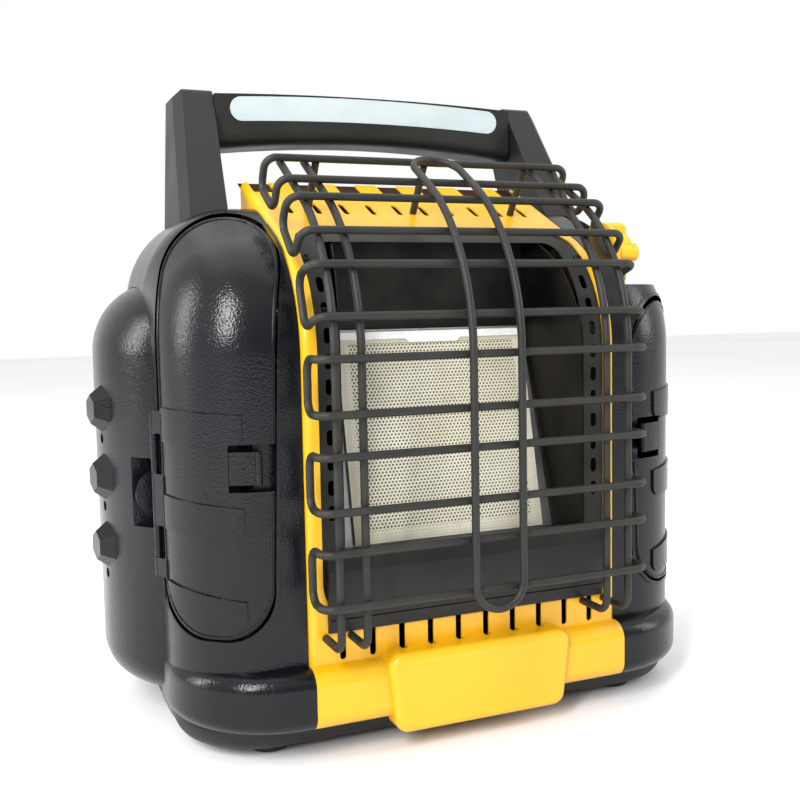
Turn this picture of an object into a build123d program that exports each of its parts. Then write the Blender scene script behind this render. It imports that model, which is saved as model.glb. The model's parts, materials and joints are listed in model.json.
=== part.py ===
"""Portable propane heater: a radiant tile burner in a sheet-steel front, moulded side and rear
covers with two cylinder bays, a wire guard, and a carrying handle with a light bar.

Frame: X is width, the front faces -Y, Z is up from the ground. All sizes are in millimetres.
Depths named "..._in" are measured back from the plane of the front panel.
"""
import os
from math import cos, radians, sin, sqrt, tan

from build123d import *

# ---------------------------------------------------------------- driving dimensions
overall_depth = 305.0        # foremost guard wire to the back of the rear cover
handle_top = 440.0           # top of the handle arms
gap = 0.4                    # parting gap between neighbouring covers
fit_air = 0.1                # radial air in a running fit

# front panel (yellow sheet)
panel_half = 111.2
panel_sheet = 1.2
panel_edge_radius = 5.0
panel_return = 7.0           # depth of the return flange round its edge
bend_z = 250.0               # height where the flat front starts to bend back
bend_radius = 85.0
top_slope = 26.0             # degrees, slope of the panel's top
ridge_in = 137.0             # where the sloping top ends
crease_z = 58.7              # top of the bumper roll
roll_bottom = 20.6
roll_reach = 11.5            # how far the bumper roll stands out
roll_radius = 11.0
roll_tail_in = 12.0
roll_side_reach = 2.0        # how far it stands out at its rear end
roll_turn = 72.0             # radius of its corner, seen from above
roll_end_in = 70.0

# vents in the panel
vent_pitch = 20.0
vent_count = 10
vent_width = 4.2
low_vent_z = 71.0
low_vent_length = 20.0
top_vent_in = 91.0
top_vent_length = 19.0
tab_count = 6
tab_pitch = 33.0
tab_width = 16.5
tab_root_in = 119.0

# raised boss on the bumper roll
boss_top_half = 66.0
boss_bottom_half = 60.0
boss_top_z = 64.0
boss_bottom_z = 12.5
boss_reach = 17.5

# bezel and firebox
bezel_half = 102.0
bezel_sheet = 1.0
bezel_top_in = 54.0
bezel_bottom_z = 84.0
bezel_foot_radius = 26.0
bezel_top_radius = 10.0
mouth_half = 87.0            # opening of the firebox
mouth_bottom_z = 121.0
mouth_top_z = 322.0
bezel_vent_x = 94.5
bezel_vent_width = 4.6
bezel_vent_length = 9.6
bezel_vent_pitch = 15.6
bezel_vent_count = 10
bezel_vent_top_z = 294.0
fire_sheet = 0.8
fire_back_in = 60.0
fire_back_half = 73.0

# burner
tile_width = 140.0
tile_height = 141.0
tile_depth = 13.0
tile_foot_in = 28.0          # lower front edge of the tile
tile_foot_z = 125.0
tile_lean = 11.9             # degrees
plenum_depth = 30.0
plenum_wall = 1.0
plenum_inset = 2.0
burner_strip = 8.0           # bright strip above the tile
venturi_length = 42.0
jet_radius = 6.0
burner_bore = 20.0           # inside of the venturi tube

# lower lip
lip_sheet = 1.0
lip_half = 99.5
lip_top_z = 127.0
lip_reach = 7.0
lip_drop = 48.0              # how far the lip hangs below its top

# wire guard
wire = 5.0
guard_half = 112.6           # centre of the hoop ends
guard_stand = 34.6           # hoop wires' centre ahead of the panel
guard_bend_radius = 120.0
guard_bend_angle = 59.0
hoop_count = 6
hoop_height = 32.5
hoop_pitch = 57.0
lowest_hoop = -130.0         # along the guard's profile, from the bend's start
hoop_leg = 22.0
hoop_corner = 8.0
upright_x = (84.5, 101.0)
hook_z = 76.0
hook_radius = 9.0
hairpin_half = 16.5
hairpin_bottom = -158.0
hairpin_top = 165.0
guard_leg_x = 78.0
guard_leg_in = 86.0

# moulded covers
cover_half = 187.0
cover_in = 4.0               # the covers' front stands this far behind the panel
cover_depth_in = 250.0
cover_top = 348.0
corner_radius = 60.0
rear_top_radius = 80.0
top_blend_radius = 60.0
wall = 2.5
hump_bulge = 28.0            # how far the hump stands out beyond the side covers
hump_centre_in = 150.0
hump_side_radius = 97.0
hump_corner_radius = 105.0
hump_top = 301.0
hump_top_radius = 50.0
hump_bottom = 22.0
hump_bottom_radius = 25.0
side_back_in = 200.0         # side covers end here above the humps
side_foot_in = 95.0          # and here below them
rear_top_in = 150.0          # the rear cover's top starts here

# hexagonal bumpers and drain holes on the humps
bumper_zs = (214.0, 167.0, 120.0)
bumper_in = 134.0
bumper_foot = 36.0           # across corners at the foot
bumper_face = 20.0           # across corners at the face
bumper_height = 8.0
bumper_turn = 14.0           # degrees towards the front
drain_diameter = 7.0

# rear cover's back
battery_z = 118.0
battery_size = (92.0, 58.0)
battery_sheet = 1.3
battery_corner = 6.0
battery_seam = 0.3
battery_grip = 7.0
rear_vent_z = 205.0
rear_vent_length = 44.0
rear_vent_pitch = 14.0
rear_vent_count = 9

# doors
door_front_x = 124.0
door_rear_in = 64.0
door_facing = 22.0           # degrees from straight ahead
door_bottom = 78.0
door_top_left = 343.0
door_top_right = 284.0
door_gap = 1.3               # seam round the door, which its swing needs
door_foot_radius = 30.0
door_room = 80.0             # the door's opening is cut this far either way
door_drop_left = 1.6         # more room over each door, for its swing
door_drop_right = 2.5
door_taper = 7.0             # the front edge leans back this much towards the foot
lip_height = 0.9
lip_width = 2.4
band_zs = (101.0, 155.0, 209.5)
band_height = 21.5
band_raise = 1.5
band_falls = (8.5, 5.2, 3.4)  # degrees that each band falls towards the front
band_front = 17.0            # front ends, from the door's middle
band_corner = 7.0

# door latch
latch_z = 184.5
latch_height = 20.0
latch_slot = 4.5
latch_root_x = 156.0
latch_tip_x = 138.6
latch_lip = 2.2
latch_pocket = 7.0           # depth of the finger pocket beside the tongue
pocket_sheet = 1.2

# door hinge and finger tab
hinge_offset = 3.0           # axis outside the cover's side
hinge_in = 66.8
hinge_zs = (111.0, 123.0, 144.0, 177.0, 203.0, 217.0)  # ends of the five knuckles
knuckle_gap = 0.4
hinge_sweep = 3.9            # the door's edge passes outside this radius
pin_radius = 1.1
barrel_radius = 2.5
tab_radius = 16.5            # round finger tab beside the door
tab_x = 184.0
tab_z = 161.0
tab_thickness = 3.0
pocket_height = 46.0
pocket_width = 16.0
pocket_depth = 17.0
pocket_end_in = 99.0

# notch over the right-hand bay, for the knob
notch_x = 127.5
notch_floor = 292.0
notch_back_in = 100.0

# cylinder bays
bay_x = 128.0
bay_in = 72.0
bay_radius = 51.0
liner_flats = 12             # flats of a whole turn; the liner has half of them
liner_sheet = 0.8
cylinder_top = 228.0         # height of the regulator's seat

regulator_radius = 20.0
regulator_cap = 24.0
inlet_radius = 12.7          # 1 inch thread of the cylinder's valve
inlet_depth = 14.0
plate_rise = 12.0            # the bay's top plate above the regulator's seat
plate_sheet = 1.5

# heat shield under the panel's sloping top
shield_in = (98.0, 149.0)
shield_drop = 5.0
shield_wall_in = 118.0
shield_wall_half = 74.0

# base
tray_inset = 3.2
tray_bottom = 5.0
tray_top = 24.0
tray_edge = 12.0             # rounding of the tray's lower edge
ledge_height = 6.0           # the ledge that carries the panel's foot
ledge_top = 31.0
foot_radius = 13.0
foot_x = 130.0
foot_in = (34.0, 218.0)

# knob and valve
knob_in = 50.0
knob_z = 315.0
knob_radius = 22.5
knob_back_x = 131.0
skirt_thickness = 5.0
lobe_thickness = 15.5
lobe_width = 12.5
stem_radius = 3.0
knob_travel = 3.0
valve_drop = 27.0            # the valve's body reaches this far below the knob's axis
valve_back = 12.0            # and this far behind it

# gas pipes
pipe_radius = 2.5
pipe_bend = 5.0
pipe_rise = 12.0             # the bay pipes turn level this far above the regulators
valve_port_x = 98.0
cross_pipe_in = 100.0        # the left bay's pipe crosses here, behind the burner
cross_pipe_x = 92.5
cross_pipe_z = 294.0
burner_pipe_in = 109.0
burner_pipe_x = 60.0
burner_pipe_z = (36.0, 304.0)
valve_radius = 15.0
valve_x = (88.0, 121.0)

# handle
arm_inner_x = 121.0
arm_top_in = (173.0, 211.0)
arm_top_outer_x = 149.0
arm_foot_in = (103.0, 178.0)
arm_foot_x = (127.0, 160.0)
arm_foot_z = 330.0
arm_edge = 6.0
bar_in = (165.0, 207.0)
bar_end_z = (397.0, 436.5)
bar_mid_z = (404.5, 439.5)
bar_edge = 9.0
lens_half = 110.0
lens_z = (417.5, 435.5)
lens_depth = 5.0
board_room = 5.0
button_x = 84.0
button_radius = 6.0
button_travel = 1.2

os.makedirs("parts", exist_ok=True)

# ---------------------------------------------------------------- derived places
front = guard_stand + wire + wire / 2 - overall_depth / 2    # plane of the front panel
back = overall_depth / 2                                    # back of the rear cover
far = 600.0                                                 # longer than the heater
hump_half = cover_half + hump_bulge


def finish(part, name):
    """Label a finished piece and write it."""
    part.label = name
    export_step(part, f"parts/{name}.step")


def side_outline(inset, start_in, end_in, base_z, top_z, rear_radius):
    """Outline, seen from the side, of the panel or the covers: up the front, round the bend,
    up the slope and back along the top. Every face is moved in by inset."""
    radius = bend_radius - inset
    turn = radians(90 - top_slope)
    y0 = front + start_in + inset
    y1 = front + end_in - (inset if rear_radius else 0)
    bend_end = (y0 + radius * (1 - cos(turn)), bend_z + radius * sin(turn))
    if not rear_radius:
        end = (y1, bend_end[1] + (y1 - bend_end[0]) * tan(radians(top_slope)))
        Line((y0, base_z), (y0, bend_z))
        RadiusArc((y0, bend_z), bend_end, radius)
        Polyline(bend_end, end, (y1, base_z), (y0, base_z))
        return
    top = top_z - inset
    round_off = rear_radius - inset
    knee = (bend_end[0] + (top - bend_end[1]) / tan(radians(top_slope)), top)
    Line((y0, base_z), (y0, bend_z))
    RadiusArc((y0, bend_z), bend_end, radius)
    FilletPolyline(bend_end, knee, (y1 - round_off, top), radius=top_blend_radius)
    RadiusArc((y1 - round_off, top), (y1, top - round_off), round_off)
    Polyline((y1, top - round_off), (y1, base_z), (y0, base_z))


def cover_body(inset, base_z=roll_bottom):
    """The body that both side covers and the rear cover's top are cut from."""
    half = cover_half - inset
    with BuildPart() as body:
        with BuildSketch(Plane.YZ):
            with BuildLine():
                side_outline(inset, cover_in, cover_depth_in, base_z, cover_top, rear_top_radius)
            make_face()
        extrude(amount=half, both=True)
        rim = [e for e in body.edges() if abs(abs(e.center().X) - half) < 0.01]
        fillet([e for e in rim if e.center().Z > base_z + 1], corner_radius - inset)
    return body.part


def hump_body(inset):
    """The low rear body that bulges out behind the doors."""
    half = hump_half - inset
    side = hump_side_radius - inset
    corner = hump_corner_radius - inset
    centre_y = front + hump_centre_in
    low = hump_bottom + inset
    with BuildPart() as body:
        with BuildSketch(Plane.XY.offset(low)):
            with BuildLine():
                Line((0, centre_y - side), (half - side, centre_y - side))
                RadiusArc((half - side, centre_y - side), (half, centre_y), -side)
                Line((half, centre_y), (half, back - inset - corner))
                RadiusArc((half, back - inset - corner), (half - corner, back - inset), -corner)
                Line((half - corner, back - inset), (0, back - inset))
                mirror(about=Plane.YZ)
            make_face()
        extrude(amount=hump_top - inset - low)
        fillet(body.edges().group_by(Axis.Z)[-1], hump_top_radius - inset)
        fillet(body.edges().group_by(Axis.Z)[0], hump_bottom_radius - inset)
    return body.part


def block(x, y_in, z):
    """A box between two X, two depths behind the panel and two heights."""
    centre = ((x[0] + x[1]) / 2, front + (y_in[0] + y_in[1]) / 2, (z[0] + z[1]) / 2)
    with BuildPart() as box:
        with Locations(centre):
            Box(x[1] - x[0], y_in[1] - y_in[0], z[1] - z[0])
    return box.part


def rod(start, end, radius):
    """A round bar between two points."""
    axis = Vector(*end) - Vector(*start)
    with BuildPart() as bar:
        with BuildSketch(Plane(origin=start, z_dir=axis)):
            Circle(radius)
        extrude(amount=axis.length)
    return bar.part


def tube_along(points):
    """A gas pipe along straight runs with rounded bends."""
    with BuildPart() as pipe:
        with BuildLine() as route:
            FilletPolyline(*points, radius=pipe_bend)
        with BuildSketch(Plane(origin=route.line @ 0, z_dir=route.line % 0)):
            Circle(pipe_radius)
        sweep(path=route.line)
    return pipe.part


# ---------------------------------------------------------------- moulded covers
body_outer = cover_body(0)
body_inner = cover_body(wall, base_z=0)
hump_outer = hump_body(0)
hump_inner = hump_body(wall)
raised_outer = cover_body(-lip_height)
skin = (body_outer + hump_outer) - (body_inner + hump_inner)

outward = Vector(-sin(radians(door_facing)), -cos(radians(door_facing)), 0)
across = Vector(cos(radians(door_facing)), -sin(radians(door_facing)), 0)
door_front_point = Vector(-door_front_x, front + cover_in, 0)
door_rear_point = Vector(-cover_half, front + door_rear_in, 0)
door_middle = (door_front_point + door_rear_point) / 2
door_half = (door_front_point - door_rear_point).dot(across) / 2
hinge_x = cover_half + hinge_offset
hinge_y = front + hinge_in


def door_prism(grow, top):
    """Tombstone-shaped prism through the left side cover, along the door's facing."""
    half = door_half + grow
    spring = top + grow - half
    foot = door_bottom - grow
    with BuildPart() as prism:
        with BuildSketch(Plane(origin=door_middle - outward * door_room, x_dir=across, z_dir=outward)):
            with BuildLine():
                Line((-half, foot), (-half, spring))
                ThreePointArc((-half, spring), (0, top + grow), (half, spring))
                Polyline((half, spring), (half - door_taper, foot), (-half, foot))
            make_face()
            fillet(vertices().group_by(Axis.Y)[0], door_foot_radius + abs(grow))
        extrude(amount=2 * door_room)
    return prism.part


def barrel(z0, z1):
    """A hinge knuckle on the left side, without its bore."""
    return rod((-hinge_x, hinge_y, z0), (-hinge_x, hinge_y, z1), barrel_radius)


def hinge_bore(radius):
    return rod((-hinge_x, hinge_y, 0), (-hinge_x, hinge_y, far), radius)


door_knuckles = (hinge_zs[0:2], hinge_zs[2:4], hinge_zs[4:6])
cover_knuckles = [(low + knuckle_gap, high - knuckle_gap) for low, high in (hinge_zs[1:3], hinge_zs[3:5])]


def hump_side_point(side, depth):
    """A point on the hump's flank at a depth behind the panel, and the outward direction there."""
    centre_x = hump_half - hump_side_radius
    centre_y = front + hump_centre_in
    drop = hump_centre_in - depth
    reach = sqrt(hump_side_radius**2 - drop**2)
    return (side * (centre_x + reach), centre_y - drop, side * reach / hump_side_radius, -drop / hump_side_radius)


def hex_bumper(side, z):
    """A hexagonal bumper that stands out of the hump's flank."""
    x, y, out_x, out_y = hump_side_point(side, bumper_in)
    foot = Plane(origin=(x - out_x * wall, y - out_y * wall, z), x_dir=(0, 0, 1), z_dir=(out_x, out_y, 0))
    with BuildPart() as bumper:
        with BuildSketch(foot):
            RegularPolygon(bumper_foot / 2, 6)
        with BuildSketch(foot.offset(bumper_height + wall)):
            RegularPolygon(bumper_face / 2, 6)
        loft()
    return bumper.part - hump_inner


def bumper_roll():
    """The bumper roll round the foot of the left side cover, seen from above as one wide turn."""
    end = front + roll_end_in
    nose = front - roll_reach
    side = -(cover_half + roll_side_reach)
    inner = -(panel_half + gap)
    with BuildPart() as roll:
        with BuildSketch(Plane.XY.offset(roll_bottom)):
            with BuildLine():
                Line((inner, nose), (side + roll_turn, nose))
                RadiusArc((side + roll_turn, nose), (side, nose + roll_turn), roll_turn)
                Polyline((side, nose + roll_turn), (side, end), (inner, end), (inner, nose))
            make_face()
        extrude(amount=crease_z - roll_bottom)
        rims = roll.edges().group_by(Axis.Z)[0] + roll.edges().group_by(Axis.Z)[-1]
        outer = [e for e in rims if e.center().Y < end - 1 and e.center().X < inner - 1]
        fillet(outer, roll_radius)
    return roll.part - body_outer


def side_cover(door_top, notched):
    """Left side cover, with its door opening and the raised lip round it."""
    keep = block((-far, -(panel_half + gap)), (-far, side_back_in), (0, far))
    hump_room = hump_body(-gap)
    with BuildPart() as cover:
        add((skin & keep) - hump_room)
        add(block((-far, 0), (side_foot_in, far), (0, hump_bottom + hump_bottom_radius)), mode=Mode.SUBTRACT)
        if notched:
            room = block((-far, -notch_x), (-far, notch_back_in), (notch_floor, far))
            walls = block((-far, -(notch_x - wall)), (-far, notch_back_in + wall), (notch_floor - wall, far))
            add((walls & body_outer) & keep)
            add(room, mode=Mode.SUBTRACT)
            stem_y = front + knob_in
            add(rod((-far, stem_y, knob_z), (0, stem_y, knob_z), stem_radius + 0.5), mode=Mode.SUBTRACT)
        ring = door_prism(lip_width, door_top) & (raised_outer - body_inner)
        ring -= block((-far, -cover_half), (0, hinge_in - hinge_sweep), (0, far))
        for z0, z1 in door_knuckles:
            ring -= block((-far, -cover_half), (0, door_rear_in + 15), (z0 - knuckle_gap, z1 + knuckle_gap))
        add((ring & keep) - hump_room)
        for z0, z1 in cover_knuckles:
            add(barrel(z0, z1))
            foot = block((-hinge_x, -(cover_half - wall)), (hinge_in - 1.2, hinge_in + barrel_radius), (z0, z1))
            add(foot)
        add(door_prism(0, door_top), mode=Mode.SUBTRACT)
        add(hinge_bore(pin_radius), mode=Mode.SUBTRACT)
    return cover.part


with BuildPart() as left_side_cover:
    add(side_cover(door_top_left, notched=False))
finish(left_side_cover.part, "left_side_cover")

with BuildPart() as right_side_cover:
    add(side_cover(door_top_right, notched=True))
    mirror(about=Plane.YZ, mode=Mode.REPLACE)
finish(right_side_cover.part, "right_side_cover")


with BuildPart() as left_corner_bumper:
    add(bumper_roll())
finish(left_corner_bumper.part, "left_corner_bumper")

with BuildPart() as right_corner_bumper:
    add(bumper_roll())
    mirror(about=Plane.YZ, mode=Mode.REPLACE)
finish(right_corner_bumper.part, "right_corner_bumper")


# ---------------------------------------------------------------- front panel
def panel_body(inset, extra=0.0):
    """The front panel as a solid; extra lengthens it at the back and at the foot."""
    half = panel_half - inset
    foot = roll_bottom - extra
    with BuildPart() as body:
        with BuildSketch(Plane.YZ):
            with BuildLine():
                side_outline(inset, 0, ridge_in + extra, foot, None, 0)
            make_face()
        extrude(amount=half, both=True)
        rim = [e for e in body.edges() if abs(abs(e.center().X) - half) < 0.01]
        rim = [e for e in rim if e.center().Y < front + ridge_in + extra - 1]
        fillet([e for e in rim if e.center().Z > foot + 1], panel_edge_radius - inset)
    return body.part


def roll_profile(inset, extra=0.0):
    """Side view of the bumper roll, as edges of the line being drawn."""
    nose = front - roll_reach + inset
    tail = front + roll_tail_in + extra
    radius = roll_radius - inset
    high = crease_z - inset
    low = roll_bottom + inset
    Line((tail, high), (nose + radius, high))
    RadiusArc((nose + radius, high), (nose, high - radius), -radius)
    Line((nose, high - radius), (nose, low + radius))
    RadiusArc((nose, low + radius), (nose + radius, low), -radius)
    Polyline((nose + radius, low), (tail, low), (tail, high))


def roll_body(inset, extra=0.0):
    with BuildPart() as body:
        with BuildSketch(Plane.YZ):
            with BuildLine():
                roll_profile(inset, extra)
            make_face()
        extrude(amount=panel_half - inset, both=True)
    return body.part


def boss_body(inset):
    """The raised boss on the roll, wider at its top."""
    wide = boss_top_half - inset
    narrow = boss_bottom_half - inset
    with BuildPart() as body:
        with BuildSketch(Plane.XZ.offset(-front)):
            with BuildLine():
                high = boss_top_z - inset
                low = boss_bottom_z + inset
                Polyline((-narrow, low), (narrow, low), (wide, high), (-wide, high), (-narrow, low))
            make_face()
            fillet(vertices(), 9)
        extrude(amount=boss_reach - inset)
        fillet(body.edges().group_by(Axis.Y)[0], 5)
    return body.part


def mouth_prism(half, low, high, low_radius, high_radius, reach_in):
    """A round-cornered prism along Y, for openings in the front."""
    with BuildPart() as prism:
        with BuildSketch(Plane.XZ.offset(far)):
            with BuildLine():
                Line((0, low), (half - low_radius, low))
                RadiusArc((half - low_radius, low), (half, low + low_radius), -low_radius)
                Line((half, low + low_radius), (half, high - high_radius))
                RadiusArc((half, high - high_radius), (half - high_radius, high), -high_radius)
                Line((half - high_radius, high), (0, high))
                mirror(about=Plane.YZ)
            make_face()
        extrude(amount=-(far + front + reach_in))
    return prism.part


def outline_prism(inset, start_in, end_in, foot):
    """A full-width prism of the side outline, to trim the front's pieces with."""
    with BuildPart() as prism:
        with BuildSketch(Plane.YZ):
            with BuildLine():
                side_outline(inset, start_in, end_in, foot, None, 0)
            make_face()
        extrude(amount=far, both=True)
    return prism.part


slope = radians(top_slope)
bend_turn = 90 - top_slope
slope_start_in = bend_radius * (1 - cos(radians(bend_turn)))
slope_start_z = bend_z + bend_radius * sin(radians(bend_turn))


def slope_z(depth_in, below=0.0):
    """Height of the sloping top at a depth behind the panel's front, or of a plane below it."""
    return slope_start_z + (depth_in - slope_start_in) * tan(slope) - below / cos(slope)


slope_plane = Plane(
    origin=(0, front + top_vent_in, slope_z(top_vent_in)),
    x_dir=(1, 0, 0),
    z_dir=(0, -sin(slope), cos(slope)),
)
bezel_top_z = slope_z(bezel_top_in)
tab_root = (tab_root_in - top_vent_in) / cos(slope)
tab_end = (ridge_in - top_vent_in) / cos(slope)

with BuildPart() as front_panel:
    add(panel_body(0))
    add(roll_body(0))
    add(boss_body(0))
    add(panel_body(panel_sheet, extra=1), mode=Mode.SUBTRACT)
    add(roll_body(panel_sheet, extra=1), mode=Mode.SUBTRACT)
    add(boss_body(panel_sheet), mode=Mode.SUBTRACT)
    add(
        outline_prism(panel_return, 0, ridge_in + 1, 0) & block((-far, far), (0, far), (0, cover_top - 10)),
        mode=Mode.SUBTRACT,
    )
    add(
        mouth_prism(bezel_half, bezel_bottom_z, bezel_top_z, bezel_foot_radius, bezel_top_radius, bezel_top_in),
        mode=Mode.SUBTRACT,
    )
    with BuildSketch(Plane.XZ.offset(-front)):
        with Locations((0, low_vent_z)):
            with GridLocations(vent_pitch, 0, vent_count, 1):
                SlotOverall(low_vent_length, vent_width, rotation=90)
    extrude(amount=5, both=True, mode=Mode.SUBTRACT)
    with BuildSketch(slope_plane):
        with GridLocations(vent_pitch, 0, vent_count, 1):
            SlotOverall(top_vent_length, vent_width, rotation=90)
    extrude(amount=4, both=True, mode=Mode.SUBTRACT)
    with BuildSketch(slope_plane):
        with Locations((0, (tab_root + tab_end) / 2 + 1)):
            with GridLocations(tab_pitch, 0, tab_count + 1, 1):
                Rectangle(tab_pitch - tab_width, tab_end - tab_root + 2)
        with Locations((0, (tab_root + tab_end) / 2)):
            Rectangle(2 * (panel_half - panel_edge_radius), far, mode=Mode.INTERSECT)
    extrude(amount=4, both=True, mode=Mode.SUBTRACT)
finish(front_panel.part, "front_panel")

# ---------------------------------------------------------------- bezel
bezel_lap = 4.0
bezel_back = panel_sheet + bezel_sheet
with BuildPart() as burner_bezel:
    lapped = mouth_prism(
        bezel_half + bezel_lap, bezel_bottom_z - bezel_lap + 1, bezel_top_z, bezel_foot_radius, bezel_top_radius,
        bezel_top_in,
    )
    shown = outline_prism(panel_sheet, 0, ridge_in, 0) - outline_prism(bezel_back, 0, ridge_in + 1, -1)
    add(shown & lapped)
    add(mouth_prism(mouth_half, mouth_bottom_z, mouth_top_z, 0.2, 8, far / 2), mode=Mode.SUBTRACT)
    with BuildSketch(Plane.XZ.offset(-front)):
        low_z = bezel_vent_top_z - (bezel_vent_count - 1) * bezel_vent_pitch
        for side in (-1, 1):
            with Locations((side * bezel_vent_x, (low_z + bezel_vent_top_z) / 2)):
                with GridLocations(0, bezel_vent_pitch, 1, bezel_vent_count):
                    SlotOverall(bezel_vent_length, bezel_vent_width, rotation=90)
    extrude(amount=-60, mode=Mode.SUBTRACT)
finish(burner_bezel.part, "burner_bezel")

# ---------------------------------------------------------------- firebox and lower lip
inside_half = fire_back_half - fire_sheet
fire_tail_in = fire_back_in + 17.0


def fire_prism(grow, low, high, start_in=-1.0):
    """The firebox's inside, seen in plan as a taper to the tile, with its walls moved out by grow."""
    with BuildPart() as space:
        with BuildSketch(Plane.XY.offset(low)):
            with BuildLine():
                Line((0, front + start_in), (mouth_half + grow, front + start_in))
                Line((mouth_half + grow, front + start_in), (inside_half + grow, front + fire_back_in))
                Line((inside_half + grow, front + fire_back_in), (inside_half + grow, front + fire_tail_in))
                Line((inside_half + grow, front + fire_tail_in), (0, front + fire_tail_in))
                mirror(about=Plane.YZ)
            make_face()
        extrude(amount=high - low)
    return space.part


ceiling = mouth_top_z + 2
reflector_foot = tile_foot_z + tile_height * cos(radians(tile_lean)) + 1.5
with BuildPart() as firebox:
    add(fire_prism(fire_sheet, mouth_bottom_z, ceiling + fire_sheet))
    add(outline_prism(bezel_back, 0, fire_tail_in + 1, 0), mode=Mode.INTERSECT)
    add(fire_prism(0, mouth_bottom_z - 1, ceiling), mode=Mode.SUBTRACT)
    wall_in = (fire_back_in, fire_back_in + fire_sheet)
    add(block((-fire_back_half, fire_back_half), wall_in, (reflector_foot, ceiling + fire_sheet)))
    add(block((-far, far), (wall_in[1], far), (reflector_foot + 6, far)), mode=Mode.SUBTRACT)
finish(firebox.part, "firebox")

lip_foot_z = lip_top_z - lip_drop
with BuildPart() as lower_lip:
    with BuildSketch(Plane.YZ):
        with BuildLine():
            Polyline(
                (front, lip_foot_z),
                (front - 1.5, lip_foot_z),
                (front - 2.5, lip_foot_z + 5),
                (front - lip_reach, lip_top_z - 9),
                (front - lip_reach + 2, lip_top_z),
                (front + tile_foot_in - 1.5, lip_top_z - 2.5),
                (front + tile_foot_in - 1.5, mouth_bottom_z),
                (front, mouth_bottom_z),
                (front, lip_foot_z),
            )
        make_face()
        fillet(vertices().sort_by(Axis.Y)[-1], 2.5)
        fillet(vertices().sort_by(Axis.X)[0], 4)
    extrude(amount=lip_half, both=True)
    add(block((-far, far), (0, far), (0, far)) - fire_prism(-0.2, mouth_bottom_z, ceiling), mode=Mode.SUBTRACT)
    inside_x = (lip_sheet - lip_half, lip_half - lip_sheet)
    add(block(inside_x, (-lip_reach + 4, 0), (lip_foot_z + 8, mouth_bottom_z)), mode=Mode.SUBTRACT)
finish(lower_lip.part, "lower_lip")

# ---------------------------------------------------------------- wire guard
guard_turn = radians(guard_bend_angle)
guard_arc = guard_bend_radius * guard_turn


def guard_place(run, inward=0.0):
    """Depth, height and turn of the guard's side profile, run measured from the bend's start."""
    turn = min(max(run / guard_bend_radius, 0), guard_turn)
    radius = guard_bend_radius - inward
    depth = -guard_stand + guard_bend_radius - radius * cos(turn)
    height = bend_z + radius * sin(turn)
    straight = run if run < 0 else max(run - guard_arc, 0)
    return depth + straight * sin(turn), height + straight * cos(turn), turn


def hoop_plane(run):
    """Plane through a hoop's two front wires, and half the distance between them."""
    low = guard_place(run - hoop_height / 2)
    high = guard_place(run + hoop_height / 2)
    rise = high[1] - low[1]
    back_step = high[0] - low[0]
    half = sqrt(rise**2 + back_step**2) / 2
    middle = (0, front + (low[0] + high[0]) / 2, (low[1] + high[1]) / 2)
    return Plane(origin=middle, x_dir=(1, 0, 0), z_dir=(0, -rise, back_step)), half


def hoop(number):
    """A closed hoop: two front wires joined at each side by a leg that stands inward."""
    plane, half = hoop_plane(lowest_hoop + number * hoop_pitch)
    corners = [
        (-guard_half, -half, 0),
        (guard_half, -half, 0),
        (guard_half, -half, -hoop_leg),
        (guard_half, half, -hoop_leg),
        (guard_half, half, 0),
        (-guard_half, half, 0),
        (-guard_half, half, -hoop_leg),
        (-guard_half, -half, -hoop_leg),
    ]
    with BuildPart() as ring:
        with BuildLine() as route:
            FilletPolyline(*[plane.from_local_coords(c) for c in corners], radius=hoop_corner, close=True)
        with BuildSketch(Plane(origin=plane.from_local_coords((0, -half, 0)), z_dir=(1, 0, 0))):
            Circle(wire / 2)
        sweep(path=route.line)
    return ring.part


for number in range(hoop_count):
    with BuildPart() as guard_hoop:
        add(hoop(number))
    finish(guard_hoop.part, f"guard_hoop_{number + 1}")


def upright(x):
    """A wire behind the hoops, hooked back to the panel at its foot."""
    y0 = front + guard_place(0, wire)[0]
    y2, z2 = guard_place(guard_arc, wire)[:2]
    ym, zm = guard_place(guard_arc / 2, wire)[:2]
    y3, z3 = guard_place(upright_end, wire)[:2]
    with BuildPart() as bar:
        with BuildLine() as route:
            Line((x, front, hook_z), (x, y0 + hook_radius, hook_z))
            hook_turn = hook_radius * (1 - cos(radians(45)))
            ThreePointArc(
                (x, y0 + hook_radius, hook_z),
                (x, y0 + hook_turn, hook_z + hook_turn),
                (x, y0, hook_z + hook_radius),
            )
            Line((x, y0, hook_z + hook_radius), (x, y0, bend_z))
            ThreePointArc((x, y0, bend_z), (x, front + ym, zm), (x, front + y2, z2))
            Line((x, front + y2, z2), (x, front + y3, z3))
        with BuildSketch(Plane(origin=(x, front, hook_z), z_dir=(0, -1, 0))):
            Circle(wire / 2)
        sweep(path=route.line)
    return bar.part


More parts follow.
